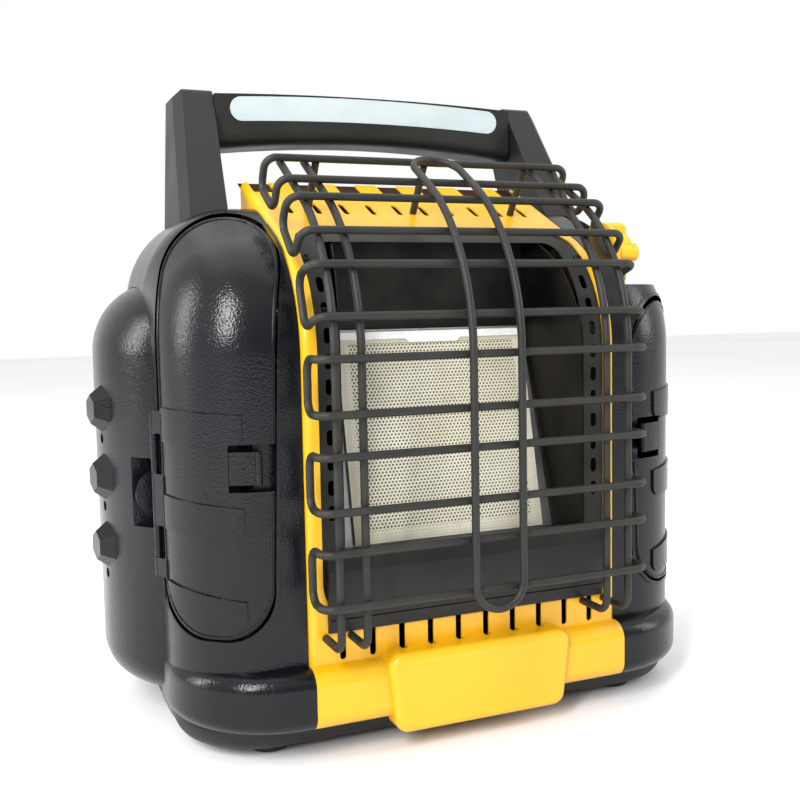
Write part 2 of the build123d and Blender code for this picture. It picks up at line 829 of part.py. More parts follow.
def hairpin():
    """The long closed loop welded over the hoops in the middle of the guard."""
    half = hairpin_half
    y0 = front + guard_place(0, -wire)[0]
    y2, z2 = guard_place(guard_arc, -wire)[:2]
    ym, zm = guard_place(guard_arc / 2, -wire)[:2]
    y3, z3 = guard_place(hairpin_top - half, -wire)[:2]
    y4, z4 = guard_place(hairpin_top, -wire)[:2]
    low = bend_z + hairpin_bottom + half
    with BuildPart() as loop:
        with BuildLine() as route:
            ThreePointArc((-half, y0, low), (0, y0, low - half), (half, y0, low))
            Line((half, y0, low), (half, y0, bend_z))
            ThreePointArc((half, y0, bend_z), (half, front + ym, zm), (half, front + y2, z2))
            Line((half, front + y2, z2), (half, front + y3, z3))
            ThreePointArc((half, front + y3, z3), (0, front + y4, z4), (-half, front + y3, z3))
            Line((-half, front + y3, z3), (-half, front + y2, z2))
            ThreePointArc((-half, front + y2, z2), (-half, front + ym, zm), (-half, y0, bend_z))
            Line((-half, y0, bend_z), (-half, y0, low))
        with BuildSketch(Plane(origin=(-half, y0, low), z_dir=(0, 0, -1))):
            Circle(wire / 2)
        sweep(path=route.line)
    return loop.part


def guard_leg(x):
    """A short leg from the top wire down to the panel's sloping top."""
    top_run = lowest_hoop + (hoop_count - 1) * hoop_pitch
    plane, half = hoop_plane(top_run)
    wire_centre = plane.from_local_coords((0, half, 0))
    centre = Vector(x, wire_centre.Y, wire_centre.Z)
    foot = Vector(x, front + guard_leg_in, slope_z(guard_leg_in))
    along = (foot - centre).normalized()
    with BuildPart() as leg:
        add(rod(tuple(centre + along * wire / 2), tuple(foot + along * wire), wire / 2))
        add(outline_prism(0, 0, ridge_in, 0), mode=Mode.SUBTRACT)
    return leg.part


upright_end = lowest_hoop + (hoop_count - 1) * hoop_pitch + hoop_height / 2 + wire
for number, x in enumerate((-upright_x[1], -upright_x[0], upright_x[0], upright_x[1])):
    with BuildPart() as guard_upright:
        add(upright(x))
    finish(guard_upright.part, f"guard_upright_{number + 1}")

with BuildPart() as guard_hairpin:
    add(hairpin())
finish(guard_hairpin.part, "guard_hairpin")

for number, x in enumerate((-guard_leg_x, 0, guard_leg_x)):
    with BuildPart() as guard_foot:
        add(guard_leg(x))
    finish(guard_foot.part, f"guard_leg_{number + 1}")

# ---------------------------------------------------------------- rear cover
def battery_outline(grow):
    """Outline of the battery compartment's lid."""
    return RectangleRounded(battery_size[0] + 2 * grow, battery_size[1] + 2 * grow, battery_corner + grow)


with BuildPart() as rear_cover:
    region = (
        hump_outer
        + block((-far, far), (side_back_in + gap, far), (0, far))
        + block((-panel_half, panel_half), (rear_top_in, far), (0, far))
    )
    add(skin & region)
    for side in (-1, 1):
        for z in bumper_zs:
            seat = hump_side_point(side, bumper_in)
            add(hex_bumper(side, z), mode=Mode.ADD)
            hole = (seat[0] + side * 20, seat[1] + 3, z - bumper_face - 1)
            inner = (seat[0] - side * 20, seat[1] + 3, z - bumper_face - 1)
            add(rod(hole, inner, drain_diameter / 2), mode=Mode.SUBTRACT)
    for side in (-1, 1):
        pocket_x = sorted((side * cover_half, side * (cover_half + pocket_width)))
        pocket_z = (tab_z - pocket_height / 2, tab_z + pocket_height / 2)
        lining_x = sorted((side * (cover_half - wall), side * (cover_half + pocket_width + wall)))
        lining_z = (pocket_z[0] - wall, pocket_z[1] + wall)
        add((block(lining_x, (door_rear_in, pocket_end_in + wall), lining_z) & hump_outer) - body_outer)
        add(block(pocket_x, (door_rear_in, pocket_end_in), pocket_z), mode=Mode.SUBTRACT)
        tab_y = front + pocket_end_in - pocket_depth
        tab_centre = (side * tab_x, tab_y, tab_z)
        add((rod(tab_centre, (side * tab_x, tab_y + tab_thickness, tab_z), tab_radius) - raised_outer)
            + (rod((side * (tab_x + 9), tab_y, tab_z), (side * (tab_x + 9), front + pocket_end_in + 1, tab_z), 4)
               - raised_outer))
    with BuildSketch(Plane.XZ.offset(-back)):
        with Locations((0, battery_z)):
            battery_outline(battery_seam)
    extrude(amount=battery_sheet, mode=Mode.SUBTRACT)
    with BuildSketch(Plane.XZ.offset(-back)):
        with Locations((0, rear_vent_z)):
            with GridLocations(rear_vent_pitch, 0, rear_vent_count, 1):
                SlotOverall(rear_vent_length, vent_width, rotation=90)
    extrude(amount=wall, mode=Mode.SUBTRACT)
finish(rear_cover.part, "rear_cover")

with BuildPart() as battery_cover:
    with BuildSketch(Plane.XZ.offset(-back)):
        with Locations((0, battery_z)):
            battery_outline(0)
    extrude(amount=battery_sheet)
    with BuildSketch(Plane.XZ.offset(-back)):
        with Locations((0, battery_z + battery_size[1] / 2 - battery_grip)):
            SlotOverall(4 * battery_grip, battery_grip)
    extrude(amount=battery_sheet / 2, mode=Mode.SUBTRACT)
finish(battery_cover.part, "battery_cover")

# ---------------------------------------------------------------- base tray and feet
def tray_body(inset):
    """The tray's outside, or its room when it is moved in; open at the top either way."""
    low = cover_body(tray_inset + inset, base_z=tray_bottom + inset)
    with BuildPart() as body:
        add(low & block((-far, far), (-far, far), (0, tray_top + inset)))
        fillet(body.edges().group_by(Axis.Z)[0], tray_edge - inset)
    return body.part


with BuildPart() as base_tray:
    add(tray_body(0) - tray_body(wall))
    tray_front = (cover_in + tray_inset, cover_in + tray_inset + wall)
    ledge_x = (-boss_bottom_half, boss_bottom_half)
    add(block(ledge_x, tray_front, (tray_top - wall, ledge_top)))
    add(block(ledge_x, (panel_sheet, tray_front[1]), (ledge_top - ledge_height, ledge_top)))
finish(base_tray.part, "base_tray")

for number, (side, depth) in enumerate(((-1, 0), (1, 0), (-1, 1), (1, 1))):
    with BuildPart() as rubber_foot:
        with BuildSketch(Plane.XY):
            with Locations((side * foot_x, front + foot_in[depth])):
                Circle(foot_radius)
        extrude(amount=tray_bottom)
        chamfer(rubber_foot.edges().group_by(Axis.Z)[0], 1)
    finish(rubber_foot.part, f"rubber_foot_{number + 1}")

# ---------------------------------------------------------------- doors
latch_window = (latch_z - latch_height / 2 - latch_slot, latch_z + latch_height / 2 + latch_slot)
latch_window_x = (-latch_root_x, -panel_half)
door_skin = body_outer - body_inner


def door_foot(z0, z1):
    """The arm that joins a door knuckle to the door."""
    with BuildPart() as arm:
        with BuildSketch(Plane.XY.offset(z0)):
            with BuildLine():
                Polyline(
                    (-hinge_x - barrel_radius, hinge_y),
                    (-hinge_x + barrel_radius, hinge_y),
                    (-cover_half - 0.3, hinge_y - 4.6),
                    (-cover_half + 1.5, hinge_y - 5.6),
                    (-cover_half + 1.5, hinge_y - 11),
                    (-cover_half + 0.4, hinge_y - 11),
                    (-hinge_x - barrel_radius, hinge_y),
                )
            make_face()
        extrude(amount=z1 - z0)
    return arm.part


def band(z, fall):
    """Space of one raised band: it falls towards the front, the upper edge more than the lower."""
    rear = -door_half - lip_width
    high = z + band_height / 2
    low = z - band_height / 2
    drop = (band_front - rear) * tan(radians(fall))
    with BuildPart() as space:
        with BuildSketch(Plane(origin=door_middle, x_dir=across, z_dir=outward)):
            with BuildLine():
                Polyline((rear, low), (rear, high), (band_front, high - drop), (band_front, low - drop / 2), (rear, low))
            make_face()
            fillet(vertices().sort_by(Axis.X)[-2:].sort_by(Axis.Y)[0], band_corner)
        extrude(amount=cover_half, both=True)
    return space.part


def door(door_top, drop):
    """Left door: its skin, raised bands, latch window with a finger pocket, and hinge knuckles."""
    shape = door_prism(-door_gap, door_top - drop)
    with BuildPart() as leaf:
        add(door_skin & shape)
        for z, fall in zip(band_zs, band_falls):
            add((band_outer - body_inner) & door_prism(-door_gap - lip_width, door_top) & band(z, fall))
        add(block(latch_window_x, (-far, door_rear_in), latch_window), mode=Mode.SUBTRACT)
        pocket_x = (-latch_tip_x - pocket_sheet, latch_window_x[1])
        pocket_z = (latch_window[0] - pocket_sheet, latch_window[1] + pocket_sheet)
        pocket = block(pocket_x, (-far, door_rear_in), pocket_z) & shape
        pocket_room = block((-latch_root_x, latch_window_x[1]), (-far, door_rear_in), latch_window)
        add((pocket & (body_outer - pocket_body)) - (pocket_room & (body_outer - pocket_room_body)))
        for z0, z1 in door_knuckles:
            add(barrel(z0, z1))
            add(door_foot(z0, z1))
        add(hinge_bore(pin_radius + fit_air), mode=Mode.SUBTRACT)
    return leaf.part


def door_latch():
    """The springy tongue in the door's latch window, with a curled lip at its tip."""
    high = (latch_z - latch_height / 2, latch_z + latch_height / 2)
    with BuildPart() as tongue:
        add(door_skin & block((-latch_root_x + 0.35, -latch_tip_x), (-60, 60), high))
        tip = front + cover_in + corner_radius - sqrt(corner_radius**2 - (latch_tip_x - cover_half + corner_radius) ** 2)
        add(rod((-latch_tip_x, tip + 0.6, high[0]), (-latch_tip_x, tip + 0.6, high[1]), latch_lip))
    return tongue.part


band_outer = cover_body(-band_raise)
pocket_body = cover_body(wall + latch_pocket)
pocket_room_body = cover_body(wall + latch_pocket - pocket_sheet)

with BuildPart() as left_door:
    add(door(door_top_left, door_drop_left))
finish(left_door.part, "left_door")

with BuildPart() as right_door:
    add(door(door_top_right, door_drop_right))
    mirror(about=Plane.YZ, mode=Mode.REPLACE)
finish(right_door.part, "right_door")

with BuildPart() as left_latch:
    add(door_latch())
finish(left_latch.part, "left_latch")

with BuildPart() as right_latch:
    add(door_latch())
    mirror(about=Plane.YZ, mode=Mode.REPLACE)
finish(right_latch.part, "right_latch")

with BuildPart() as left_hinge_pin:
    add(rod((-hinge_x, hinge_y, hinge_zs[0]), (-hinge_x, hinge_y, hinge_zs[-1]), pin_radius))
finish(left_hinge_pin.part, "left_hinge_pin")

with BuildPart() as right_hinge_pin:
    add(rod((hinge_x, hinge_y, hinge_zs[0]), (hinge_x, hinge_y, hinge_zs[-1]), pin_radius))
finish(right_hinge_pin.part, "right_hinge_pin")

# ---------------------------------------------------------------- burner
lean = radians(tile_lean)
tile_plane = Plane(
    origin=(0, front + tile_foot_in, tile_foot_z),
    x_dir=(1, 0, 0),
    z_dir=(0, -cos(lean), sin(lean)),
)

with BuildPart() as burner_tile:
    with BuildSketch(tile_plane):
        with Locations((0, tile_height / 2)):
            Rectangle(tile_width, tile_height)
    extrude(amount=-tile_depth)
    with BuildSketch(tile_plane):
        with Locations((0, tile_height / 2)):
            Rectangle(tile_width - 2 * burner_strip, tile_height - 2 * burner_strip)
    extrude(amount=-0.6, mode=Mode.SUBTRACT)
finish(burner_tile.part, "burner_tile")

with BuildPart() as burner_frame:
    with BuildSketch(tile_plane.offset(-3)):
        with Locations((0, (tile_height + 1 - burner_strip) / 2)):
            Rectangle(2 * mouth_half, tile_height + 1 + burner_strip)
        with Locations((0, tile_height / 2)):
            Rectangle(tile_width, tile_height, mode=Mode.SUBTRACT)
    extrude(amount=-1)
    add(fire_prism(0, mouth_bottom_z, ceiling), mode=Mode.INTERSECT)
    with BuildSketch(tile_plane.offset(-3)):
        with Locations((0, tile_height + 0.5)):
            Rectangle(tile_width, 1.0)
    extrude(amount=5.5)
finish(burner_frame.part, "burner_frame")

plenum_half = tile_width / 2 - plenum_inset
with BuildPart() as burner_plenum:
    with BuildSketch(tile_plane.offset(-tile_depth)):
        with Locations((0, tile_height / 2)):
            RectangleRounded(2 * plenum_half, tile_height - 2 * plenum_inset, 8)
    extrude(amount=-plenum_depth)
    room = 2 * (plenum_inset + plenum_wall)
    with BuildSketch(tile_plane.offset(-tile_depth)):
        with Locations((0, tile_height / 2)):
            RectangleRounded(tile_width - room, tile_height - room, 7)
    extrude(amount=-(plenum_depth - plenum_wall), mode=Mode.SUBTRACT)
    inlet = tile_plane.from_local_coords((0, plenum_inset, -tile_depth - plenum_depth / 2))
    inside = tile_plane.from_local_coords((0, plenum_inset + 5, -tile_depth - plenum_depth / 2))
    add(rod(tuple(inlet), tuple(inside), burner_bore / 2 + plenum_wall), mode=Mode.SUBTRACT)
finish(burner_plenum.part, "burner_plenum")

with BuildPart() as venturi_tube:
    top = tile_plane.from_local_coords((0, plenum_inset + plenum_wall, -tile_depth - plenum_depth / 2))
    low = tile_plane.from_local_coords((0, -venturi_length, -tile_depth - plenum_depth / 2))
    down = (low - top).normalized()
    add(rod(tuple(low), tuple(top), burner_bore / 2 + plenum_wall))
    add(rod(tuple(low - down * plenum_wall), tuple(top - down), burner_bore / 2), mode=Mode.SUBTRACT)
    add(rod(tuple(low), tuple(top), jet_radius), mode=Mode.SUBTRACT)
    port = low - down * 10
    for side in (-1, 1):
        end = port + Vector(side * burner_bore, 0, 0)
        add(rod(tuple(port), tuple(end), burner_bore / 4), mode=Mode.SUBTRACT)
finish(venturi_tube.part, "venturi_tube")

with BuildPart() as gas_jet:
    foot = low + down * 12
    add(rod(tuple(foot), tuple(low), jet_radius))
    add(rod(tuple(low), tuple(low - down * plenum_wall), jet_radius))
finish(gas_jet.part, "gas_jet")

with BuildPart() as heat_shield:
    shield_half = panel_half - panel_sheet
    with BuildSketch(Plane.YZ):
        with BuildLine():
            y0 = front + shield_in[0]
            y1 = front + shield_in[1]
            z0 = slope_z(shield_in[0], shield_drop)
            z1 = slope_z(shield_in[1], shield_drop)
            Polyline((y0, z0), (y1, z1), (y1, z1 - 1), (y0, z0 - 1), (y0, z0))
        make_face()
    extrude(amount=shield_half, both=True)
    add(
        block(
            (-shield_wall_half, shield_wall_half),
            (shield_wall_in, shield_wall_in + 0.8),
            (tray_top, slope_z(shield_wall_in, shield_drop) - 0.5),
        )
    )
finish(heat_shield.part, "heat_shield")

# ---------------------------------------------------------------- cylinder bays
bay_centre = (-bay_x, front + bay_in)


def bay_liner():
    """Folded sheet behind a cylinder, whose flats touch the bay's circle."""
    low = tray_bottom + wall
    with BuildPart() as liner:
        with BuildSketch(Plane.XY.offset(low)):
            with Locations(bay_centre):
                fold_outline(liner_sheet)
                fold_outline(0, Mode.SUBTRACT)
            with Locations((bay_centre[0] + outward.X * far / 2, bay_centre[1] + outward.Y * far / 2)):
                Rectangle(far, far, rotation=-door_facing, mode=Mode.SUBTRACT)
        extrude(amount=cylinder_top + plate_rise - low)
    return liner.part


def fold_outline(grow, mode=Mode.ADD):
    """Many-sided outline round the bay, with one flat square to the door's facing."""
    flat = 180 / liner_flats
    return RegularPolygon(
        bay_radius + grow, liner_flats, major_radius=False, rotation=90 - door_facing - flat, mode=mode
    )


def bay_plate():
    """Plate on top of the liner, with the hole that the regulator hangs in."""
    with BuildPart() as plate:
        with BuildSketch(Plane.XY.offset(cylinder_top + plate_rise)):
            with Locations(bay_centre):
                fold_outline(liner_sheet)
                Circle(regulator_radius + fit_air, mode=Mode.SUBTRACT)
        extrude(amount=plate_sheet)
    return plate.part


def regulator():
    """Regulator that hangs in the bay's plate, threaded inlet down."""
    seat = cylinder_top + plate_rise + plate_sheet
    with BuildPart() as body:
        with BuildSketch(Plane.XY.offset(cylinder_top)):
            with Locations(bay_centre):
                Circle(regulator_radius)
        extrude(amount=seat + regulator_cap - cylinder_top)
        with BuildSketch(Plane.XY.offset(seat)):
            with Locations(bay_centre):
                Circle(regulator_radius + 5)
        extrude(amount=4)
        with BuildSketch(Plane.XY.offset(cylinder_top)):
            with Locations(bay_centre):
                Circle(inlet_radius)
        extrude(amount=inlet_depth, mode=Mode.SUBTRACT)
        chamfer(body.edges().group_by(Axis.Z)[-1], 2)
    return body.part


with BuildPart() as left_bay_liner:
    add(bay_liner())
finish(left_bay_liner.part, "left_bay_liner")

with BuildPart() as right_bay_liner:
    add(bay_liner())
    mirror(about=Plane.YZ, mode=Mode.REPLACE)
finish(right_bay_liner.part, "right_bay_liner")

with BuildPart() as left_bay_plate:
    add(bay_plate())
finish(left_bay_plate.part, "left_bay_plate")

with BuildPart() as right_bay_plate:
    add(bay_plate())
    mirror(about=Plane.YZ, mode=Mode.REPLACE)
finish(right_bay_plate.part, "right_bay_plate")

with BuildPart() as left_regulator:
    add(regulator())
finish(left_regulator.part, "left_regulator")

with BuildPart() as right_regulator:
    add(regulator())
    mirror(about=Plane.YZ, mode=Mode.REPLACE)
finish(right_regulator.part, "right_regulator")

regulator_top = cylinder_top + plate_rise + plate_sheet + regulator_cap

# ---------------------------------------------------------------- valve and knob
valve_y = front + knob_in
with BuildPart() as gas_valve:
    valve_room = (knob_z - valve_drop, knob_z + 2)
    add(block((valve_x[0], panel_half - 2), (knob_in - 9, knob_in + valve_back), valve_room))
    add(block((panel_half - 2, valve_x[1]), (knob_in - 5, knob_in + 8), (knob_z - 22, knob_z + 1)))
    add(rod((valve_x[1], valve_y, knob_z), (notch_x - wall, valve_y, knob_z), 5))
    add(rod((valve_x[0] + 8, valve_y, knob_z), (far, valve_y, knob_z), stem_radius + fit_air / 2), mode=Mode.SUBTRACT)
finish(gas_valve.part, "gas_valve")

right_port = (bay_x, front + bay_in)
pipe_z = regulator_top + pipe_rise
with BuildPart() as right_gas_pipe:
    add(
        tube_along(
            (
                (*right_port, regulator_top),
                (*right_port, pipe_z),
                (valve_port_x, front + bay_in, pipe_z),
                (valve_port_x, valve_y, pipe_z),
                (valve_port_x, valve_y, knob_z - valve_drop),
            )
        )
    )
finish(right_gas_pipe.part, "right_gas_pipe")

with BuildPart() as left_gas_pipe:
    add(
        tube_along(
            (
                (-bay_x, front + bay_in, regulator_top),
                (-bay_x, front + bay_in, pipe_z),
                (-bay_x, front + cross_pipe_in, pipe_z),
                (cross_pipe_x, front + cross_pipe_in, pipe_z),
                (cross_pipe_x, front + cross_pipe_in, cross_pipe_z),
                (cross_pipe_x, valve_y + valve_back, cross_pipe_z),
            )
        )
    )
finish(left_gas_pipe.part, "left_gas_pipe")

jet_run = foot + down * ((foot.Z - burner_pipe_z[0]) / -down.Z)
with BuildPart() as burner_gas_pipe:
    add(
        tube_along(
            (
                (valve_port_x, valve_y + valve_back, burner_pipe_z[1]),
                (valve_port_x, front + burner_pipe_in, burner_pipe_z[1]),
                (burner_pipe_x, front + burner_pipe_in, burner_pipe_z[1]),
                (burner_pipe_x, front + burner_pipe_in, burner_pipe_z[0]),
                (jet_run.X, front + burner_pipe_in, burner_pipe_z[0]),
                tuple(jet_run),
                tuple(foot),
            )
        )
    )
finish(burner_gas_pipe.part, "burner_gas_pipe")

stem_end_x = knob_back_x + skirt_thickness + 8
with BuildPart() as valve_stem:
    add(rod((valve_x[0] + 8.3, valve_y, knob_z), (stem_end_x, valve_y, knob_z), stem_radius))
finish(valve_stem.part, "valve_stem")

with BuildPart() as control_knob:
    with BuildSketch(Plane.YZ.offset(knob_back_x)):
        with Locations((valve_y, knob_z)):
            Circle(knob_radius)
    extrude(amount=skirt_thickness)
    chamfer(control_knob.edges().group_by(Axis.X)[-1], 1)
    with BuildSketch(Plane.YZ.offset(knob_back_x + skirt_thickness)):
        with Locations((valve_y, knob_z)):
            Circle(knob_radius - 7)
            with PolarLocations(knob_radius - lobe_width / 2, 4):
                Circle(lobe_width / 2)
            with PolarLocations(knob_radius / 2, 4):
                Rectangle(knob_radius - lobe_width / 2, lobe_width)
    extrude(amount=lobe_thickness)
    fillet(control_knob.edges().group_by(Axis.X)[-1], 1.5)
    bore_end = (stem_end_x + knob_travel + 0.3, valve_y, knob_z)
    add(rod((0, valve_y, knob_z), bore_end, stem_radius + fit_air / 2), mode=Mode.SUBTRACT)
finish(control_knob.part, "control_knob")

# ---------------------------------------------------------------- handle
def handle_arm():
    """Left handle arm: tapers up and back from the side cover to the bar."""
    with BuildPart() as arm:
        with BuildSketch(Plane.XY.offset(arm_foot_z)):
            with Locations((-(arm_foot_x[0] + arm_foot_x[1]) / 2, front + (arm_foot_in[0] + arm_foot_in[1]) / 2)):
                Rectangle(arm_foot_x[1] - arm_foot_x[0], arm_foot_in[1] - arm_foot_in[0])
        with BuildSketch(Plane.XY.offset(handle_top)):
            with Locations((-(arm_inner_x + arm_top_outer_x) / 2, front + (arm_top_in[0] + arm_top_in[1]) / 2)):
                Rectangle(arm_top_outer_x - arm_inner_x, arm_top_in[1] - arm_top_in[0])
        loft()
        outer = arm.edges().filter_by(lambda e: e.center().X < -(arm_inner_x + arm_foot_x[1]) / 2)
        chamfer(outer.filter_by(lambda e: e.center().Z > arm_foot_z + 1), arm_edge)
        inner = arm.edges().group_by(Axis.Z)[-1].sort_by(Axis.Y)
        chamfer([inner[0], inner[-1]], 2)
    return arm.part - body_outer


with BuildPart() as left_handle_arm:
    add(handle_arm())
finish(left_handle_arm.part, "left_handle_arm")

with BuildPart() as right_handle_arm:
    add(handle_arm())
    mirror(about=Plane.YZ, mode=Mode.REPLACE)
finish(right_handle_arm.part, "right_handle_arm")

bar_half = arm_inner_x
bar_front = front + bar_in[0]
lens_rise = (lens_z[0] + lens_z[1]) / 2
arch = bar_mid_z[1] - bar_end_z[1]


def lens_outline(inset):
    """Stadium shape of the lens, seen from the front and arched like the bar."""
    half = lens_half - inset
    high = (lens_z[1] - lens_z[0]) / 2 - inset
    end = half - high
    mid = lens_rise + arch
    ThreePointArc((-end, lens_rise - high), (-half, lens_rise), (-end, lens_rise + high))
    ThreePointArc((-end, lens_rise + high), (0, mid + high), (end, lens_rise + high))
    ThreePointArc((end, lens_rise + high), (half, lens_rise), (end, lens_rise - high))
    ThreePointArc((end, lens_rise - high), (0, mid - high), (-end, lens_rise - high))


with BuildPart() as handle_bar:
    with BuildSketch(Plane.XZ.offset(-bar_front)):
        with BuildLine():
            ThreePointArc((-bar_half, bar_end_z[1]), (0, bar_mid_z[1]), (bar_half, bar_end_z[1]))
            Line((bar_half, bar_end_z[1]), (bar_half, bar_end_z[0]))
            ThreePointArc((bar_half, bar_end_z[0]), (0, bar_mid_z[0]), (-bar_half, bar_end_z[0]))
            Line((-bar_half, bar_end_z[0]), (-bar_half, bar_end_z[1]))
        make_face()
    extrude(amount=-(bar_in[1] - bar_in[0]))
    long_edges = handle_bar.edges().filter_by(lambda e: abs(e.center().X) < 1)
    fillet(long_edges.group_by(Axis.Z)[0], bar_edge)
    long_edges = handle_bar.edges().filter_by(lambda e: abs(e.center().X) < 1 and e.center().Z > lens_z[1])
    fillet(long_edges.sort_by(Axis.Y)[-1], bar_edge)
    with BuildSketch(Plane.XZ.offset(-bar_front)):
        with BuildLine():
            lens_outline(0)
        make_face()
    extrude(amount=-lens_depth, mode=Mode.SUBTRACT)
    with BuildSketch(Plane.XZ.offset(-bar_front - lens_depth)):
        with BuildLine():
            lens_outline(3)
        make_face()
    extrude(amount=-board_room, mode=Mode.SUBTRACT)
    button_y = front + bar_in[1]
    button_z = (bar_mid_z[0] + bar_mid_z[1]) / 2
    add(rod((button_x, button_y - 8, button_z), (button_x, far, button_z), button_radius + 0.3), mode=Mode.SUBTRACT)
finish(handle_bar.part, "handle_bar")

with BuildPart() as light_lens:
    with BuildSketch(Plane.XZ.offset(-bar_front)):
        with BuildLine():
            lens_outline(0.15)
        make_face()
    extrude(amount=-lens_depth)
finish(light_lens.part, "light_lens")

with BuildPart() as led_board:
    with BuildSketch(Plane.XZ.offset(-bar_front - lens_depth - board_room)):
        with BuildLine():
            lens_outline(4)
        make_face()
    extrude(amount=1.6)
    with BuildSketch(Plane.XZ.offset(-bar_front - lens_depth - board_room + 1.6)):
        with Locations((0, lens_rise + arch * 0.7)):
            with GridLocations(2 * (lens_half - 15) / 9, 0, 10, 1):
                Rectangle(3.5, 3.5)
    extrude(amount=0.9)
finish(led_board.part, "led_board")

with BuildPart() as light_button:
    add(rod((button_x, button_y - 8 + button_travel + 0.3, button_z), (button_x, button_y + 1.5, button_z), button_radius))
finish(light_button.part, "light_button")
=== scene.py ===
# %% [markdown]
# # A portable propane heater
#
# The heater comes in as a solid model: a sheet-steel front with a burner behind a wire guard,
# moulded covers, two doors, a knob and a carrying handle. Each step of this lesson gives it one
# thing more: a camera, light, the finishes, and the small parts that catch the eye.

# %% Load the solid model
import json
import math

import bmesh
import bpy
from mathutils import Matrix, Vector


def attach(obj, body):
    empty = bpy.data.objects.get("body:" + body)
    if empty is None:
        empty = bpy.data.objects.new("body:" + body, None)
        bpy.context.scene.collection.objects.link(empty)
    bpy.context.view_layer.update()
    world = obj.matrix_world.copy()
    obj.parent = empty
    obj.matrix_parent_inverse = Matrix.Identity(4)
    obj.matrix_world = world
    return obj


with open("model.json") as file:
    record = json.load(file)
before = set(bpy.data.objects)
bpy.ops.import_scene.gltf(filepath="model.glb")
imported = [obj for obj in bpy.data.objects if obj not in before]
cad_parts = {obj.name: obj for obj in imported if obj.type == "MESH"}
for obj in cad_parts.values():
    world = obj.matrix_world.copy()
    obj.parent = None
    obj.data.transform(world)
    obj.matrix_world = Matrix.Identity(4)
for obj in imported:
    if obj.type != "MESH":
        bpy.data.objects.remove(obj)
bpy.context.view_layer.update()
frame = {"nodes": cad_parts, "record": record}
nodes = frame["nodes"]
print("solid parts:", len(nodes))

# %% [markdown]
# ## Sizes that everything shares
#
# Lengths are easiest to think about in millimetres, but Blender works in metres, so one constant
# turns one into the other. The front of the heater is a plane facing -Y, and depths in this
# lesson are measured back from it, the way a ruler would lie on the real thing.

# %% Shared sizes
MM = 0.001
PANEL_Y = -110.4 * MM


def at(x, depth, height):
    """A point from millimetres: across, behind the front panel, above the ground."""
    return Vector((x * MM, PANEL_Y + depth * MM, height * MM))


print("front panel at y =", PANEL_Y)

# %% [markdown]
# ## The camera
#
# A product picture is taken from a little above the middle, far enough away that the box doesn't
# bulge. The lens is a short telephoto. The camera's turn is built from three directions at right
# angles: where it looks, what is right of it and what is up, with a slight roll between the two.

# %% Place the camera
VIEW_TURN = math.radians(22.66)
VIEW_DOWN = math.radians(5.25)
VIEW_ROLL = math.radians(-1.09)
VIEW_POINT = at(-295.1, -590.8, 280.2)
VIEW_LENS = 46.27
VIEW_SENSOR = 36

forward = Vector((
    math.sin(VIEW_TURN) * math.cos(VIEW_DOWN),
    math.cos(VIEW_TURN) * math.cos(VIEW_DOWN),
    -math.sin(VIEW_DOWN),
))
level = Vector((math.cos(VIEW_TURN), -math.sin(VIEW_TURN), 0))
upward = level.cross(forward)
right = level * math.cos(VIEW_ROLL) + upward * math.sin(VIEW_ROLL)
up = upward * math.cos(VIEW_ROLL) - level * math.sin(VIEW_ROLL)

camera_data = bpy.data.cameras.new("camera")
camera_data.lens = VIEW_LENS
camera_data.sensor_width = VIEW_SENSOR
camera = bpy.data.objects.new("camera", camera_data)
camera.matrix_world = Matrix((
    (right.x, up.x, -forward.x, VIEW_POINT.x),
    (right.y, up.y, -forward.y, VIEW_POINT.y),
    (right.z, up.z, -forward.z, VIEW_POINT.z),
    (0, 0, 0, 1),
))
bpy.context.scene.collection.objects.link(camera)
bpy.context.scene.camera = camera
print("camera", [round(v, 3) for v in VIEW_POINT])

# %% [markdown]
# ## The studio
#
# Glossy black plastic shows mostly what it reflects. Tall, narrow soft boxes give it the long
# upright highlights of a studio, and a wide one overhead keeps the shadows soft.
# The floor is a plain pale sheet, which isn't part of the heater.

# %% Floor and soft boxes
def flat_sheet(name, corners):
    """One flat face through its corners."""
    mesh = bpy.data.meshes.new(name)
    mesh.from_pydata(corners, [], [range(len(corners))])
    sheet = bpy.data.objects.new(name, mesh)
    bpy.context.scene.collection.objects.link(sheet)
    return sheet


FLOOR_REACH = 6.0
floor = flat_sheet("floor", [
    (-FLOOR_REACH, -FLOOR_REACH, 0),
    (FLOOR_REACH, -FLOOR_REACH, 0),
    (FLOOR_REACH, FLOOR_REACH, 0),
    (-FLOOR_REACH, FLOOR_REACH, 0),
])


def soft_box(name, place, target, size, power):
    """A rectangular lamp that faces a point."""
    lamp = bpy.data.lights.new(name, "AREA")
    lamp.shape = "RECTANGLE"
    lamp.size, lamp.size_y = size
    lamp.energy = power
    box = bpy.data.objects.new(name, lamp)
    box.location = place
    box.rotation_euler = (Vector(target) - Vector(place)).to_track_quat("-Z", "Y").to_euler()
    bpy.context.scene.collection.objects.link(box)


MIDDLE = (0, 0, 0.2)
soft_box("key_light", (-1.5, -1.5, 1.5), MIDDLE, (0.4, 1.4), 54)
soft_box("side_light", (1.9, -0.9, 1.0), MIDDLE, (0.5, 1.4), 14)
soft_box("left_light", (-2.1, 0.4, 1.0), MIDDLE, (0.35, 1.4), 24)
soft_box("top_light", (0.1, 0.3, 2.1), MIDDLE, (2.4, 1.8), 12)

# %% [markdown]
# ## Helpers for colours and nodes
#
# Colours are picked as the sRGB hex values a paint chart would give, and one function turns them
# to the linear values that light adds up in. One more function adds a node with its settings and
# its links, so that a finish reads as a short recipe.

# %% Colour and node helpers
def linear(code):
    """sRGB hex to a linear colour with alpha."""
    channels = [int(code[i:i + 2], 16) / 255 for i in (1, 3, 5)]
    light = [c / 12.92 if c <= 0.04045 else ((c + 0.055) / 1.055) ** 2.4 for c in channels]
    return (*light, 1.0)


